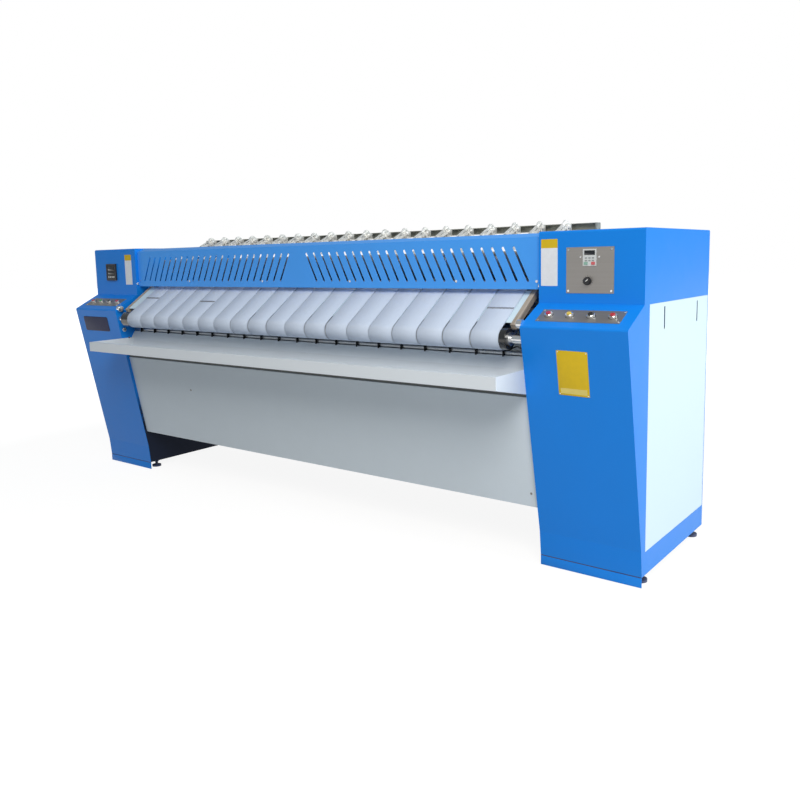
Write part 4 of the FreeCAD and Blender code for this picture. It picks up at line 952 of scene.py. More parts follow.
@dataclass
class BeltRun:
    """An endless belt round a ring of wheels, made by spinning and extruding its section."""

    wheels: Sequence[Wheel]
    thick: float
    gap: float = 0.3 * MM
    step: float = 0.03
    turn_step: float = math.radians(7)

    def _offset(self, wheel: Wheel) -> float:
        """Signed distance from a wheel's axis to the belt's inner face."""
        return wheel.radius + self.gap if wheel.radius > 0 else wheel.radius - self.gap - self.thick

    def _straight(self, first: Wheel, second: Wheel) -> tuple[Vector, Vector, Vector]:
        """Ends and outward normal of the inner face between two wheels.

        Args:
            first: the wheel it leaves.
            second: the wheel it reaches.

        Returns:
            The two ends and the belt's outward direction, as (0, y, z) vectors.
        """
        near, far = Vector((0, first.y, first.z)), Vector((0, second.y, second.z))
        span = far - near
        r0, r1 = self._offset(first), self._offset(second)
        heading = math.atan2(span.z, span.y)
        side = heading + math.acos((r0 - r1) / span.length)
        outward = Vector((0, math.cos(side), math.sin(side)))
        return near + outward * r0, far + outward * r1, outward

    def add_to(self, form: Form, width: float, edge: float, *places: Matrix) -> None:
        """Adds belts of one section, with their UV map: across the belt, and along it, in metres.

        Args:
            form: the mesh they go into.
            width: the belt's width.
            edge: bevel of its four long edges.
            places: one for each belt, from the middle of the machine.
        """
        with form.shape(*places) as mesh:
            self._sweep_section(mesh, width / 2, edge)

    def _sweep_section(self, mesh: bmesh.types.BMesh, half: float, cut: float) -> None:
        """Draws the belt's section once round its path.

        Args:
            mesh: the empty mesh to work in.
            half: half of the belt's width.
            cut: bevel of its corners.
        """
        count = len(self.wheels)
        runs = [self._straight(self.wheels[i], self.wheels[(i + 1) % count]) for i in range(count)]
        start, _, outward = runs[0]
        thick = self.thick
        section = [(-half + cut, 0), (half - cut, 0), (half, cut), (half, thick - cut), (half - cut, thick),
                   (-half + cut, thick), (-half, thick - cut), (-half, cut)]
        verts = [mesh.verts.new(start + Vector((across, 0, 0)) + outward * out) for across, out in section]
        geometry: list[Any] = verts + [mesh.edges.new(pair) for pair in zip(verts, verts[1:] + verts[:1])]
        layer = mesh.verts.layers.float.new("along")
        travelled = 0.0
        for i in range(count):
            begin, end, _ = runs[i]
            pieces = max(1, round((end - begin).length / self.step))
            wheel = self.wheels[(i + 1) % count]
            sweep = self._sweep(wheel, end, runs[(i + 1) % count][0])
            turns = max(2, round(abs(sweep) / self.turn_step))
            for _ in range(pieces):
                ring = [item for item in geometry if isinstance(item, bmesh.types.BMEdge)]
                made = bmesh.ops.extrude_edge_only(mesh, edges=ring)["geom"]
                moved = [item for item in made if isinstance(item, bmesh.types.BMVert)]
                bmesh.ops.translate(mesh, verts=moved, vec=(end - begin) / pieces)
                edges = [item for item in made if isinstance(item, bmesh.types.BMEdge)]
                made = moved + [edge for edge in edges if all(vert in moved for vert in edge.verts)]
                travelled += (end - begin).length / pieces
                geometry = self._mark(made, layer, travelled)
            for _ in range(turns):
                made = bmesh.ops.spin(mesh, geom=geometry, cent=(0, wheel.y, wheel.z), axis=(1, 0, 0),
                                      angle=sweep / turns, steps=1)["geom_last"]
                travelled += abs(sweep * self._offset(wheel)) / turns
                geometry = self._mark(made, layer, travelled)
        self._map(mesh, layer, travelled)
        bmesh.ops.remove_doubles(mesh, verts=mesh.verts, dist=1e-5)

    @staticmethod
    def _mark(made: list[Any], layer: Any, travelled: float) -> list[Any]:
        """Writes the path length on the newest section.

        Args:
            made: its vertices and edges.
            layer: where the length goes.
            travelled: the length.

        Returns:
            The same vertices and edges.
        """
        for item in made:
            if isinstance(item, bmesh.types.BMVert):
                item[layer] = travelled
        return made

    @staticmethod
    def _sweep(wheel: Wheel, end: Vector, leave: Vector) -> float:
        """Signed angle round a wheel, about +X, from where the belt meets it to where it leaves.

        Args:
            wheel: the wheel.
            end: where the belt meets it.
            leave: where the belt leaves it.

        Returns:
            The angle in radians.
        """
        first = math.atan2(end.z - wheel.z, end.y - wheel.y)
        last = math.atan2(leave.z - wheel.z, leave.y - wheel.y)
        clockwise = (first - last) % (2 * math.pi)
        return -clockwise if wheel.radius > 0 else 2 * math.pi - clockwise

    @staticmethod
    def _map(mesh: bmesh.types.BMesh, layer: Any, perimeter: float) -> None:
        """Writes the belt's UV map from its path length.

        Args:
            mesh: the belt.
            layer: float layer that holds each vertex's path length.
            perimeter: the belt's whole length.
        """
        uv = mesh.loops.layers.uv.new("UVMap")
        for face in mesh.faces:
            places = [loop.vert[layer] for loop in face.loops]
            wraps = max(places) - min(places) > perimeter / 2
            for loop in face.loops:
                along = loop.vert[layer] + (perimeter if wraps and loop.vert[layer] < perimeter / 2 else 0)
                loop[uv].uv = (loop.vert.co.x, along)


@dataclass
class FeedTable:
    """The feed belts on the sloping table, with the metal lacing where each belt is joined."""

    layout: Layout
    finishes: Finishes
    width: float = 120.2 * MM
    centre: float = 20 * MM
    radius: float = 40 * MM
    thick: float = 3 * MM
    stray: float = 0.4 * MM
    gaps_mm: tuple[float, ...] = (1.6, 2.4, 2.2, 3.0, 2.2, 2.0, 4.0, 6.8, 5.0,
                                  1.8, 5.2, 7.2, 2.0, 1.8, 3.8, 4.6, 5.2, 5.6)
    lacing_stations: dict[int, float] = field(default_factory=lambda: {0: 0.138, 4: 0.120, 18: 0.126})
    hidden_station: float = 0.15
    hooks: int = 20
    hook_margin: float = 4 * MM
    tube_gap: float = 61 * MM  # from the cabinet's inner side to the nose roller's end disc
    shaft_radius: float = 14 * MM

    def _xs(self) -> list[float]:
        """Middle of each belt, with the uneven gaps that running belts drift into."""
        xs = [0.0]
        for gap in self.gaps_mm:
            xs.append(xs[-1] + self.width + gap * MM)
        shift = self.centre - (xs[0] + xs[-1]) / 2
        return [x + shift for x in xs]

    def build(self) -> None:
        """Makes the belts and their lacing."""
        nose, back = middle_of("nose_roller"), middle_of("rear_feed_roller")
        run = BeltRun([Wheel(nose.y, nose.z, self.radius), Wheel(back.y, back.z, self.radius)], self.thick)
        chance = random.Random(4)
        belts, lacing, places = Form(), Form(), []
        for i, x in enumerate(self._xs()):
            stretch = 1 + chance.uniform(-1, 1) * self.stray / self.width
            places.append(Matrix.Translation((x, 0, 0)) @ Matrix.Diagonal((stretch, 1, 1, 1)))
            self._lace(lacing, x, self.lacing_stations.get(i))
        run.add_to(belts, self.width, 0.5 * MM, *places)
        made = belts.finish("feed_belt_cloth", self.finishes["feed_cloth"], "frame", "feed_cloth", 50)
        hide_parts("feed_belts")
        lacing.finish("feed_belt_lacing", self.finishes["heater"], "frame")
        self._nose_ends()

    def _nose_ends(self) -> None:
        """Black rings on the nose roller's bare ends that paint the shade there, and bright sleeves on its
        shaft.
        """
        low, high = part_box("feed_belts")
        nose = middle_of("nose_roller")
        end = self.layout.inner - self.tube_gap
        tube, shaft, disc = self.radius, self.shaft_radius, 2 * MM
        bands, sleeves = Form(), Form()
        for side, belt_edge in ((-1, -low.x), (1, high.x)):
            band = end - belt_edge - 1.5 * MM
            inboard = side_place(side * (end - band), nose.y, nose.z, side)
            bands.ring(inboard, tube + 1.2 * MM, tube + 0.1 * MM, band, 48)
            face = side_place(side * (end + 0.1 * MM), nose.y, nose.z, side)
            bands.ring(face, tube - 1 * MM, shaft + 5 * MM, disc, 48)
            outboard = side_place(side * (end + disc + 0.2 * MM), nose.y, nose.z, side)
            sleeves.ring(outboard, shaft + 1.4 * MM, shaft + 0.1 * MM, self.tube_gap - 2 * disc, 40)
        # Painted shade: black rings on the tube and end faces, where the roller's ends lie in shade.
        bands.finish("nose_roller_end_shade_rings", self.finishes["cap_black"], "nose")
        sleeves.finish("nose_shaft_sleeves", self.finishes["chrome"], "nose", "chrome")

    def _lace(self, form: Form, x: float, station: float | None) -> None:
        """Adds one belt's row of wire hooks, on top of the table or under it.

        Args:
            form: the mesh they go into.
            x: the belt's middle.
            station: distance up the table from the nose roller, or None for the underside.
        """
        surface = self.radius + self.thick + 0.2 * MM
        place = self.layout.feed.at(x, station or self.hidden_station, surface if station else -surface)
        if station is None:
            place = place @ Matrix.Rotation(math.pi, 4, "X")
        span = self.width - 2 * self.hook_margin
        row = [Matrix.Translation(((i / (self.hooks - 1) - 0.5) * span, 0, 0)) for i in range(self.hooks)]
        with form.shape(*[place @ step for step in row]) as mesh:
            bmesh.ops.create_cube(mesh, size=1.0, matrix=Matrix.Diagonal((3.4 * MM, 9 * MM, 1.8 * MM, 1.0)))


@dataclass
class IroningBelts:
    """The felt belts that wrap the heated roll."""

    finishes: Finishes
    count: int = 19
    pitch: float = 123.7 * MM
    width: float = 98 * MM
    centre: float = -26 * MM
    thick: float = 4 * MM
    bend_start: tuple[float, float, float] = (0.0, -0.57, 0.658)
    bend_end: tuple[float, float, float] = (0.0, -0.6675, 0.827)

    def build(self) -> None:
        """Makes the belts in the order that the CAD's belts run."""
        order = ("rear_top_belt_roller", "rear_low_belt_roller", "front_low_belt_roller", "exit_belt_roller",
                 "heated_roll", "tension_rollers")
        wheels = []
        for node in order:
            low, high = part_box(node)
            radius = (high.z - low.z) / 2
            wheels.append(Wheel((low.y + high.y) / 2, (low.z + high.z) / 2,
                                -radius if node == "heated_roll" else radius))
        run = BeltRun(wheels, self.thick)
        form = Form()
        xs = [self.centre + (i - (self.count - 1) / 2) * self.pitch for i in range(self.count)]
        run.add_to(form, self.width, 0.8 * MM, *[Matrix.Translation((x, 0, 0)) for x in xs])
        made = form.finish("ironing_belt_felt", self.finishes["ironing_cloth"], "", "ironing_cloth", 50)
        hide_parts("ironing_belts")
        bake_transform(made)


@dataclass
class DriveBelts:
    """The two drive belts; the real ones are ribbed on the inside, these are made as plain bands."""

    finishes: Finishes
    roll_pulley: float = 160 * MM
    motor_pulley: float = 48 * MM
    feed_pulley: float = 150 * MM
    teeth: tuple[int, int] = (43, 300)  # the feed pulley's size against the roll's, as a ratio
    drive_width: float = 36 * MM
    feed_width: float = 20 * MM

    def build(self) -> None:
        """Makes both belts."""
        roll, motor, feed = middle_of("heated_roll"), middle_of("motor_pulley"), middle_of("rear_feed_roller")
        belt_low, belt_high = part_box("drive_belts")
        driven = self.feed_pulley * self.teeth[0] / self.teeth[1]
        right_x = belt_high.x - self.drive_width / 2
        left_x = belt_low.x + self.feed_width / 2
        form = Form()
        drive = BeltRun([Wheel(motor.y, motor.z, self.motor_pulley),
                         Wheel(roll.y, roll.z, self.roll_pulley)], 8 * MM)
        drive.add_to(form, self.drive_width, 1.5 * MM, Matrix.Translation((right_x, 0, 0)))
        light = BeltRun([Wheel(feed.y, feed.z, driven), Wheel(roll.y, roll.z, self.feed_pulley)], 5 * MM)
        light.add_to(form, self.feed_width, 1.0 * MM, Matrix.Translation((left_x, 0, 0)))
        made = form.finish("drive_belt_rubber", self.finishes["drive_rubber"], "frame", "drive_rubber", 50)
        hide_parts("drive_belts")


# ------------------------------------------------------------------ tension row
@dataclass
class TensionRow:
    """Springs, nuts and adjusting screws of the belt tension units on the bar."""

    layout: Layout
    finishes: Finishes
    count: int = 20
    pitch: float = 123.7 * MM
    centre: float = -26 * MM
    spring_radius: float = 7 * MM
    wire: float = 2.2 * MM
    turns: int = 5
    flat_turns: float = 0.75
    flat_pitch: float = 1.08  # of the wire's thickness
    round_steps: int = 20
    pivot_reach: float = 0.470  # behind the toe plane
    pivot_z: float = 1.322
    shelf_reach: float = 70 * MM
    strap_top: tuple[float, float, float] = (0.0, 0.290, 1.3455)
    strap_foot: tuple[float, float, float] = (0.0, 0.194, 1.3000)

    def xs(self) -> list[float]:
        """Middle of each unit."""
        return [self.centre + (i - (self.count - 1) / 2) * self.pitch for i in range(self.count)]

    def build(self) -> None:
        """Makes the springs and the fixings."""
        self._springs()
        self._straps()
        self._fixings()

    def _springs(self) -> None:
        """Compression springs whose last turn at each end lies flat."""
        low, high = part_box("tension_springs")
        y = (low.y + high.y) / 2
        radius, wire = self.spring_radius - self.wire / 2, self.wire / 2
        free = self.turns - 2 * self.flat_turns
        flat = self.wire * self.flat_pitch
        rise = (high.z - low.z - 2 * wire - 2 * self.flat_turns * flat) / free
        stages = ((self.flat_turns, flat), (free, rise), (self.flat_turns, flat))
        form = Form()
        with form.shape(*[Matrix.Translation((x, y, 0)) for x in self.xs()]) as mesh:
            place = Matrix.Translation((radius, 0, low.z + wire)) @ Matrix.Rotation(math.pi / 2, 4, "X")
            bmesh.ops.create_circle(mesh, cap_ends=True, segments=8, radius=wire, matrix=place)
            geometry = list(mesh.verts) + list(mesh.edges)
            for turns, pitch in stages:
                steps = round(turns * self.round_steps)
                geometry = bmesh.ops.spin(mesh, geom=geometry, cent=(0, 0, 0), axis=(0, 0, 1),
                                          dvec=(0, 0, pitch / self.round_steps),
                                          angle=turns * 2 * math.pi, steps=steps)["geom_last"]
            bmesh.ops.contextual_create(mesh, geom=[g for g in geometry if isinstance(g, bmesh.types.BMEdge)])
        made = form.finish("tension_spring_wire", self.finishes["galvanised"], "", "galvanised", 60)
        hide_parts("tension_springs")
        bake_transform(made)

    def _straps(self) -> None:
        """A bright flat strap that slopes forward from the top of each hub."""
        top, foot = Vector(self.strap_top), Vector(self.strap_foot)
        run = foot - top
        slope = Matrix.Rotation(math.atan2(run.z, run.y), 4, "X")
        straps = Form()
        for x in self.xs():
            middle = Matrix.Translation((top + foot) / 2 + Vector((x, 0, 0)))
            straps.plate(middle @ slope, 17 * MM, run.length, 3 * MM, 2 * MM, 0.6 * MM)
        straps.finish("tension_arm_straps", self.finishes["galvanised"], "tension_frame", "galvanised")

    def _fixings(self) -> None:
        """Lock nuts on the pivot pins, nuts on the tension shaft, and an adjusting screw on every bracket."""
        bracket_low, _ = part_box("tension_brackets")
        pivot_y = self.layout.toe + self.pivot_reach
        shaft = middle_of("tension_rollers")
        fixed, moving = Form(), Form()
        for x in self.xs():
            for side in (-1, 1):
                pin_end = side_place(x + side * 17.5 * MM, pivot_y, self.pivot_z, side)
                fixed.hex_head(pin_end, 8 * MM, 4.5 * MM)
                collar = side_place(x + side * 10.0 * MM, shaft.y, shaft.z, side)
                moving.ring(collar, 11 * MM, 8.2 * MM, 3 * MM)
            shelf = Matrix.Translation((x, pivot_y - self.shelf_reach, bracket_low.z - 0.2 * MM))
            down = shelf @ Matrix.Rotation(math.pi, 4, "X")
            fixed.hex_head(down, 6.5 * MM, 4.5 * MM)
            fixed.rod(down, 3 * MM, 14 * MM, 12, 0.5 * MM)
        fixed.finish("tension_unit_nuts", self.finishes["galvanised"], "frame", "galvanised")
        moving.finish("tension_shaft_collars", self.finishes["galvanised"], "tension_frame", "galvanised")


# ------------------------------------------------------------------ cabinets
@dataclass
class CabinetTrim:
    """Blank labels and plates, rivets, the kick strips, and the painted shadow line of the seam above each
    kick strip on the two cabinets.
    """

    layout: Layout
    finishes: Finishes
    film: float = 0.4 * MM

    def build(self) -> None:
        """Makes every label, plate and its fixings."""
        self._box_label("right_blank_label", 1.289, 1.356, 1.090, 1.261)
        self._box_label("left_blank_label", -1.382, -1.318, 1.086, 1.256)
        self._yellow_plate()
        self._navy_plate()
        self._toe_strips()

    def _toe_strips(self) -> None:
        """The low kick strip on each toe plate, with a dark strip above it that paints the shadow line of the
        seam.
        """
        strips, seam_shadows = Form(), Form()
        width = self.layout.outer - self.layout.inner - 2 * MM
        toe = Face(self.layout.toe, 0.0, math.pi / 2)
        for side in (-1, 1):
            x = side * (self.layout.outer + self.layout.inner) / 2
            strips.plate(toe.at(x, 19 * MM), width, 36 * MM, 1.2 * MM, 0.5 * MM, 0.4 * MM)
            # Painted shadow: a thin dark navy strip where the seam above the kick strip lies in shade.
            seam_shadows.plate(toe.at(x, 39 * MM), width, 3.4 * MM, 0.5 * MM)
        strips.finish("toe_kick_strips", self.finishes["cabinet_blue"], "frame", "cabinet_blue")
        seam_shadows.finish("toe_seam_shadow_lines", self.finishes["foot_navy"], "frame")

    def _box_label(self, name: str, x0: float, x1: float, z0: float, z1: float) -> None:
        """A blank film label on the upper box, with a plain yellow head.

        Args:
            name: the piece's name.
            x0: left edge.
            x1: right edge.
            z0: foot.
            z1: top.
        """
        face = self.layout.box
        head = 0.19 * (z1 - z0)
        x, width = (x0 + x1) / 2, x1 - x0
        body = Form().plate(face.at(x, (z0 + z1 - head) / 2 - face.z), width, z1 - z0 - head, self.film,
                            1.5 * MM)
        body.finish(name + "_body", self.finishes["label_white"], "frame")
        top = Form().plate(face.at(x, z1 - head / 2 - face.z), width, head, self.film, 1.5 * MM)
        top.finish(name + "_head", self.finishes["label_yellow"], "frame")

    def _yellow_plate(self) -> None:
        """The blank yellow plate on the slanted front, a little out of true, with its rivets."""
        face = self.layout.slant
        x, z, width, height, thick = 1.475, 0.7875, 0.118, 0.167, 0.8 * MM
        place = face.at(x, face.climb_to(z), 0.2 * MM, math.radians(-0.8))
        plate = Form().plate(place, width, height, thick, 3 * MM, 0.2 * MM)
        plate.finish("yellow_blank_plate", self.finishes["label_yellow"], "frame")
        strip = Form()
        raised = place @ Matrix.Translation((0, -height * 0.40, thick))
        strip.plate(raised, width * 0.86, height * 0.12, 0.15 * MM, 1 * MM)
        strip.finish("yellow_plate_pale_strip", self.finishes["label_pale"], "frame")
        rivets, inset = Form(), 5 * MM
        dome = [(2.4 * MM, 0), (2.2 * MM, 0.6 * MM), (1.2 * MM, 1.1 * MM), (0, 1.25 * MM)]
        for sx in (-1, 1):
            for sy in (-1, 1):
                corner = Vector((sx * (width / 2 - inset), sy * (height / 2 - inset), thick))
                rivets.turned(place @ Matrix.Translation(corner), dome, 16)
        rivets.finish("yellow_plate_rivets", self.finishes["chrome"], "frame", "chrome")

    def _navy_plate(self) -> None:
        """The plain dark plate on the left cabinet's slanted front."""
        face = self.layout.slant
        place = face.at(-1.5005, face.climb_to(0.8655), 0.1 * MM)
        plate = Form().plate(place, 0.243, 0.084, 1.6 * MM, 10 * MM, 0.5 * MM)
        plate.finish("navy_blank_plate", self.finishes["badge_navy"], "frame")


@dataclass
class Controls:
    """What the instrument plate, keypad, knob, controller and push-buttons carry."""

    layout: Layout
    finishes: Finishes
    button_centre: float = 1.4825
    button_pitch: float = 0.081
    button_climb: float = 0.080
    deck_screw: tuple[float, float] = (0.152, 0.033)
    scale_marks: int = 11
    scale_sweep: float = 270.0
    scale_radius: float = 19 * MM
    pointer_angle: float = -50.0

    def build(self) -> None:
        """Makes the display, the screws, the knob's pointer and the controller's face."""
        self._keypad()
        self._knob()
        self._controller()
        self._button_seals()

    def _keypad(self) -> None:
        """Display window, six small keys, and the screw at each side."""
        low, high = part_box("inverter_keypad")
        x = (low.x + high.x) / 2
        face = self.layout.box
        front = face.y - low.y
        window = face.at(x, high.z - 13.5 * MM - face.z, front - 1.1 * MM)
        glass = Form().plate(window, 40.5 * MM, 16.4 * MM, 0.9 * MM, 0.8 * MM, 0.2 * MM)
        glass.finish("keypad_display", self.finishes["display_glass"], "frame")
        screws, screw_climb = Form(), (low.z + high.z) / 2 - face.z + 2 * MM
        for side in (-1, 1):
            screws.socket_screw(face.at(x + side * 35 * MM, screw_climb, PLATE), 4.0 * MM, 2.2 * MM)
        screws.finish("keypad_side_screws", self.finishes["chrome"], "frame", "chrome")
        keys, first_row = Form(), low.z + 19 * MM - face.z
        for row in (0, 1):
            for column in (-1, 0, 1):
                spot = face.at(x + column * 13 * MM, first_row + row * 9 * MM, front)
                keys.plate(spot, 9.0 * MM, 5.0 * MM, 0.5 * MM, 0.8 * MM, 0.2 * MM)
        keys.finish("keypad_small_keys", self.finishes["key_grey"], "frame")

    def _knob(self) -> None:
        """White line on the pointer bar of the speed knob, and the plain scale round it."""
        low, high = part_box("speed_knob")
        x, z = (low.x + high.x) / 2, (low.z + high.z) / 2
        pointer = Face(low.y, z, math.pi / 2).at(x, 0, 0, math.radians(self.pointer_angle))
        line = Form().plate(pointer @ Matrix.Translation((0, 4.5 * MM, -0.1 * MM)), 2.6 * MM, 12 * MM,
                            0.5 * MM, 0.5 * MM, 0.1 * MM)
        line.finish("speed_knob_line", self.finishes["mark_white"], "knob_body")
        scale, step = Form(), self.scale_sweep / (self.scale_marks - 1)
        for i in range(self.scale_marks):
            angle = math.radians(i * step - self.scale_sweep / 2)
            spot = self.layout.box.at(x, z - self.layout.box.z, PLATE, -angle)
            scale.plate(spot @ Matrix.Translation((0, self.scale_radius, 0)), 0.9 * MM, 3.4 * MM, 0.15 * MM)
        scale.finish("speed_scale_marks", self.finishes["cap_black"], "frame")

    def _controller(self) -> None:
        """Dark face, two display windows and four keys."""
        low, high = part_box("temperature_controller")
        x, z = (low.x + high.x) / 2, (low.z + high.z) / 2
        face = Face(low.y + 2 * MM, z, math.pi / 2)
        panel = Form().plate(face.at(x), 79.5 * MM, 79.5 * MM, 0.6 * MM, 2 * MM, 0.2 * MM)
        panel.finish("controller_face", self.finishes["black_plastic"], "frame", "black_plastic")
        windows = Form()
        for climb, height in ((21 * MM, 22 * MM), (-3 * MM, 15 * MM)):
            windows.plate(face.at(x, climb, 0.6 * MM), 62 * MM, height, 0.4 * MM, 1.5 * MM, 0.1 * MM)
        windows.finish("controller_windows", self.finishes["display_glass"], "frame")
        keys = Form()
        for i in range(4):
            keys.plate(face.at(x + (i - 1.5) * 17 * MM, -28 * MM, 0.6 * MM), 12 * MM, 8 * MM, 0.9 * MM,
                       2 * MM, 0.3 * MM)
        keys.finish("controller_keys", self.finishes["keypad_grey"], "frame", "keypad_grey")

    def _button_seals(self) -> None:
        """Black seal under each push-button's bezel, and the screws of the deck plates."""
        deck = self.layout.deck
        seals, screws = Form(), Form()
        for side in (-1, 1):
            for i in range(4):
                x = side * (self.button_centre + (i - 1.5) * self.button_pitch)
                seals.ring(deck.at(x, self.button_climb, PLATE), 16.5 * MM, 15.1 * MM, 1.2 * MM, 36)
            for end in (-1, 1):
                for edge in (-1, 1):
                    x = side * self.button_centre + end * self.deck_screw[0]
                    climb = self.button_climb + edge * self.deck_screw[1]
                    screws.socket_screw(deck.at(x, climb, PLATE), 3.2 * MM, 1.8 * MM)
        seals.finish("button_seals", self.finishes["cap_black"], "frame")
        screws.finish("deck_plate_screws", self.finishes["chrome"], "frame", "chrome")


# ------------------------------------------------------------------ fixings and drive details
@dataclass
class Fixings:
    """Screws on the trough, lower panel and rear covers, bearing bolts, and the drive's small parts."""

    layout: Layout
    finishes: Finishes
    panel_screws: tuple[tuple[float, float], ...] = ((-0.772, 0.526), (1.250, 0.286))  # x, z
    trough_screws: tuple[tuple[float, float], ...] = ((-0.297, 0.752), (-0.178, 0.748), (-0.090, 0.790))
    rear_screw_heights: tuple[float, ...] = (0.45, 0.70, 0.93)
    cover_inset: float = 0.025
    bearing_bolt: float = 80 * MM
    motor_z: float = 0.245
    guard_radii: tuple[int, ...] = (14, 26, 38, 50, 62)
    guard_wire: float = 2.4 * MM

    def build(self) -> None:
        """Makes every group of fixings."""
        self._front()
        self._rear()
        self._bearings()
        self._drive()

    def _front(self) -> None:
        """Screws on the lower front panel and the trough's end plates, and a dark grey strip between the two
        that paints the shadow line of their gap.
        """
        low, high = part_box("lower_front_panel")
        panel_rise, panel_lean = 0.448, 0.085
        face = Face(self.layout.toe - 11 * MM, low.z, math.atan2(panel_rise, -panel_lean))
        form = Form()
        for x, z in self.panel_screws:
            form.socket_screw(face.at(x, face.climb_to(z)), 5 * MM, 2.6 * MM)
        for side in (-1, 1):
            for y, z in self.trough_screws:
                spot = side_place(side * (self.layout.inner - 3 * MM), self.layout.toe + y, z, -side)
                form.socket_screw(spot, 5 * MM, 2.6 * MM)
        form.finish("front_panel_screws", self.finishes["heater"], "frame")
        # Painted shadow: the dark grey strip fills the gap under the trough lip and stands in for its shade
        # line.
        rest = Face(low.y + 6 * MM, high.z + 4 * MM, math.pi / 2).at(0.0)
        seal = Form().plate(rest, high.x - low.x - 2 * MM, 8.4 * MM, 3 * MM)
        seal.finish("trough_gap_shadow_strip", self.finishes["gap_shadow_grey"], "frame")

    def _rear(self) -> None:
        """Screws round the two rear covers."""
        low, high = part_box("rear_covers")
        inset, across = self.cover_inset, 5
        pitch = (self.layout.inner - 2 * inset) / (across - 1)
        spots = [(inset + i * pitch, z) for i in range(across) for z in (low.z + inset, high.z - inset)]
        spots += [(x, z) for z in self.rear_screw_heights for x in (inset, self.layout.inner - inset)]
        wall = Matrix.Rotation(-math.pi / 2, 4, "X")
        form = Form()
        for side in (-1, 1):
            for x, z in spots:
                form.socket_screw(Matrix.Translation((side * x, high.y, z)) @ wall, 5 * MM, 2.6 * MM)
        form.finish("rear_cover_screws", self.finishes["chrome"], "frame", "chrome")

    def _bearings(self) -> None:
        """Bolts on the roll bearings and grease nipples on them."""
        roll, reach = middle_of("heated_roll"), self.bearing_bolt
        form = Form()
        for side in (-1, 1):
            face = side * (self.layout.inner + 30 * MM)
            for dy in (-reach, reach):
                for dz in (-reach, reach):
                    form.hex_head(side_place(face, roll.y + dy, roll.z + dz, side), 11 * MM, 9 * MM)
            crown = side_place(side * (self.layout.inner + 48 * MM), roll.y, roll.z + 82 * MM, side)
            form.rod(crown @ Matrix.Rotation(side * -math.pi / 2, 4, "Y"), 4 * MM, 10 * MM, 12, 1 * MM)
        form.finish("roll_bearing_bolts", self.finishes["galvanised"], "frame", "galvanised")

    def _drive(self) -> None:
        """Gearbox bolts and oil plug, the terminal lid's screws, and the motor's fan guard."""
        low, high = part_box("gearbox")
        motor_low, motor_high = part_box("drive_motor")
        x = (motor_low.x + motor_high.x) / 2
        inset, lid_y = 0.022, low.y + 0.235
        bolts = Form()
        for dy in (inset, high.y - low.y - inset):
            for dz in (inset, 5 * inset, high.z - low.z - inset):
                spot = side_place(high.x - 12 * MM, low.y + dy, low.z + dz, 1)
                bolts.hex_head(spot, 7 * MM, 5 * MM)
        bolts.hex_head(Matrix.Translation((x, (low.y + high.y) / 2 + 0.03, high.z)), 10 * MM, 8 * MM)
        for sx in (-1, 1):
            for dy in (-34 * MM, 34 * MM):
                spot = Matrix.Translation((x + sx * 36 * MM, lid_y + dy, motor_high.z))
                bolts.socket_screw(spot, 3.5 * MM, 2 * MM)
        bolts.finish("drive_bolts", self.finishes["galvanised"], "frame", "galvanised")
        guard = Form()
        rear = Matrix.Translation((x, motor_high.y, self.motor_z)) @ Matrix.Rotation(-math.pi / 2, 4, "X")
        for radius in self.guard_radii:
            guard.ring(rear, radius * MM, radius * MM - self.guard_wire, 2 * MM, 40)
        inner, outer = self.guard_radii[0] * MM, self.guard_radii[-1] * MM
        for i in range(8):
            spoke = rear @ Matrix.Rotation(i * math.pi / 4, 4, "Z")
            reach = Matrix.Translation((0, (inner + outer) / 2, 0))
            guard.plate(spoke @ reach, self.guard_wire, outer - inner, 1.6 * MM)
        guard.finish("motor_fan_guard", self.finishes["cast"], "frame", "cast")


# ------------------------------------------------------------------ carried-over nodes
def dress_nodes(finishes: Finishes) -> None:
    """Gives every CAD node the finish of its record slot, or the finish listed for it below.

    Args:
        finishes: the finishes by name.
    """
    record = frame["record"]
    slots = {part["node"]: part["material_slot"] for part in record["subparts"]}
    # The side frames' blue turns near-black towards the floor, which is painted shade, and the front cover's
    # lighter blue is painted light.
    slots |= {"left_side_frame": "inner_blue_painted_shade", "right_side_frame": "inner_blue_painted_shade", "tension_bar": "bar_zinc",
              "front_cover": "cover_blue_painted_light", "levelling_feet": "foot_navy", "scraper_fingers": "satin_black"}
    for name, piece in frame["nodes"].items():
        piece.data.materials.clear()
        piece.data.materials.append(finishes[slots[name]])
        LOG.info("%s dressed in %s", name, slots[name])


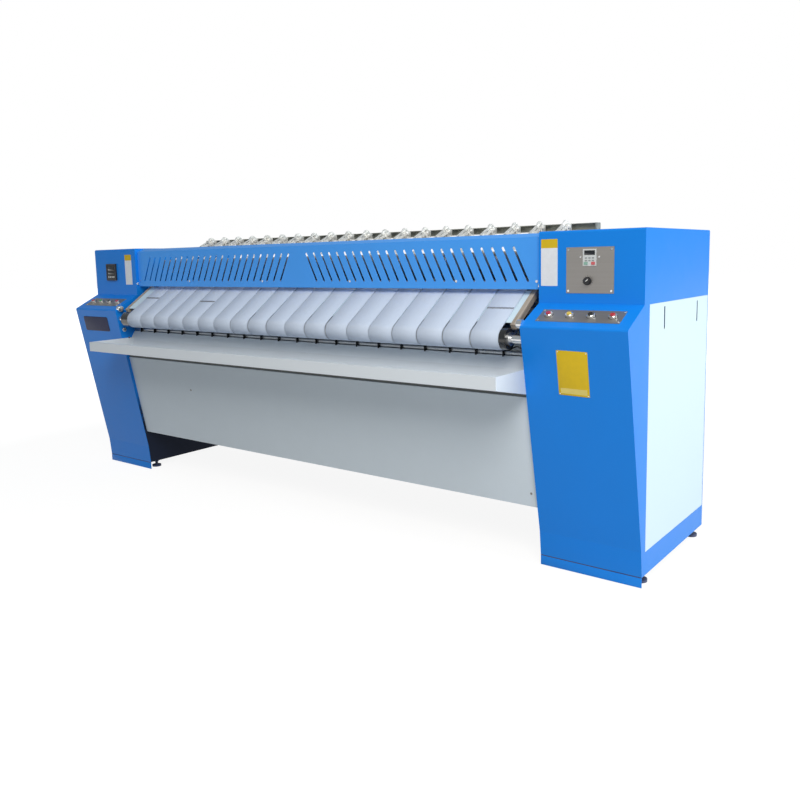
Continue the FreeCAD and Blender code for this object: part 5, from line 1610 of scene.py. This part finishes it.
# ------------------------------------------------------------------ room, light, camera
@dataclass
class Studio:
    """Floor, soft light and the photograph's camera."""

    finishes: Finishes
    floor_radius: float = 40.0
    world_strength: float = 0.34
    mirror_strength: float = 0.36
    sky_tint: Colour = (0.86, 0.94, 1.0)
    yaw: float = math.radians(37.732)
    pitch: float = math.radians(-7.491)
    roll: float = math.radians(-1.250)
    eye: tuple[float, float, float] = (2.6730, -2.8486, 1.2046)
    focal_pixels: float = 785.13
    centre_pixel: tuple[float, float] = (402.75, 361.12)
    frame_pixels: float = 800.0
    sensor: float = 36.0

    def build(self) -> None:
        """Makes the floor, the world, the lamps and the camera."""
        floor = Form()
        bmesh.ops.create_circle(floor.mesh, cap_ends=True, segments=96, radius=self.floor_radius)
        self._place_floor(floor)
        self._world()
        self._lamp("right_softbox", (6.0, 0.9, 2.6), (1.5, 0.1, 0.7), 3.2, 190.0, (0.92, 0.98, 1.0))
        self._lamp("front_softbox", (3.3, -3.6, 4.3), (1.0, 0.0, 0.9), 2.8, 215.0, (1.0, 0.97, 0.92))
        self._camera()

    def _place_floor(self, form: Form) -> bpy.types.Object:
        """Makes the floor's object, which rides on no body.

        Args:
            form: the floor's mesh.

        Returns:
            The floor.
        """
        data = bpy.data.meshes.new("floor")
        form.mesh.to_mesh(data)
        form.mesh.free()
        data.transform(Matrix.Translation((0, 0, -0.5 * MM)))
        data.materials.append(self.finishes["pale_floor"])
        floor = bpy.data.objects.new("floor", data)
        bpy.context.scene.collection.objects.link(floor)
        return floor

    def _world(self) -> None:
        """White for the camera and in reflections, and even soft light elsewhere."""
        world = bpy.data.worlds.new("studio")
        bpy.context.scene.world = world
        world.use_nodes = True
        nodes = Nodes(world.node_tree)
        path = nodes.node("ShaderNodeLightPath")
        seen = Wire(nodes, path.outputs["Is Camera Ray"]) + Wire(nodes, path.outputs["Is Transmission Ray"])
        mirrored = Wire(nodes, path.outputs["Is Glossy Ray"]) * (self.mirror_strength - self.world_strength)
        strength = seen.between(0.0, 1.0) * (1 - self.world_strength) + mirrored + self.world_strength
        colours = {0: seen.between(0.0, 1.0), 6: self.sky_tint, 7: (1.0, 1.0, 1.0)}
        tint = nodes.node("ShaderNodeMix", {"data_type": "RGBA"}, colours).outputs[2]
        background = nodes.node("ShaderNodeBackground", None, {0: tint, 1: strength})
        nodes.node("ShaderNodeOutputWorld", None, {0: background.outputs[0]})

    @staticmethod
    def _lamp(name: str, place: Sequence[float], target: Sequence[float], size: float, power: float,
              tint: Colour) -> None:
        """Adds one square softbox.

        Args:
            name: the lamp's name.
            place: where it stands.
            target: what it looks at.
            size: its side.
            power: its power in watts.
            tint: its colour.
        """
        light = bpy.data.lights.new(name, "AREA")
        light.color = tint
        light.shape = "SQUARE"
        light.size = size
        light.energy = power
        lamp = bpy.data.objects.new(name, light)
        lamp.location = place
        look = Vector(target) - Vector(place)
        lamp.rotation_euler = look.to_track_quat("-Z", "Y").to_euler()
        bpy.context.scene.collection.objects.link(lamp)

    def _camera(self) -> None:
        """Sets the camera that the photograph's perspective gives."""
        cos, sin = math.cos(self.yaw), math.sin(self.yaw)
        ahead = Vector((-sin * math.cos(self.pitch), cos * math.cos(self.pitch), math.sin(self.pitch)))
        level = Vector((cos, sin, 0.0))
        above = level.cross(ahead)
        right = level * math.cos(self.roll) + above * math.sin(self.roll)
        up = above * math.cos(self.roll) - level * math.sin(self.roll)
        turned = Matrix((right, up, -ahead)).transposed().to_4x4()
        data = bpy.data.cameras.new("camera")
        data.sensor_width = self.sensor
        data.lens = self.sensor * self.focal_pixels / self.frame_pixels
        half = self.frame_pixels / 2
        data.shift_x = (half - self.centre_pixel[0]) / self.frame_pixels
        data.shift_y = (self.centre_pixel[1] - half) / self.frame_pixels
        data.dof.use_dof = False
        camera = bpy.data.objects.new("camera", data)
        camera.matrix_world = Matrix.Translation(self.eye) @ turned
        bpy.context.scene.collection.objects.link(camera)
        bpy.context.scene.camera = camera


def main() -> None:
    """Builds the looks of the whole machine."""
    logging.basicConfig(level=logging.INFO, format="%(name)s: %(message)s")
    bpy.context.scene.view_settings.view_transform = "Standard"
    layout = Layout.from_frame()
    finishes = Finishes()
    dress_nodes(finishes)
    FeedTable(layout, finishes).build()
    IroningBelts(finishes).build()
    DriveBelts(finishes).build()
    TensionRow(layout, finishes).build()
    CabinetTrim(layout, finishes).build()
    Controls(layout, finishes).build()
    Fixings(layout, finishes).build()
    Studio(finishes).build()


if __name__ == "__main__":
    main()
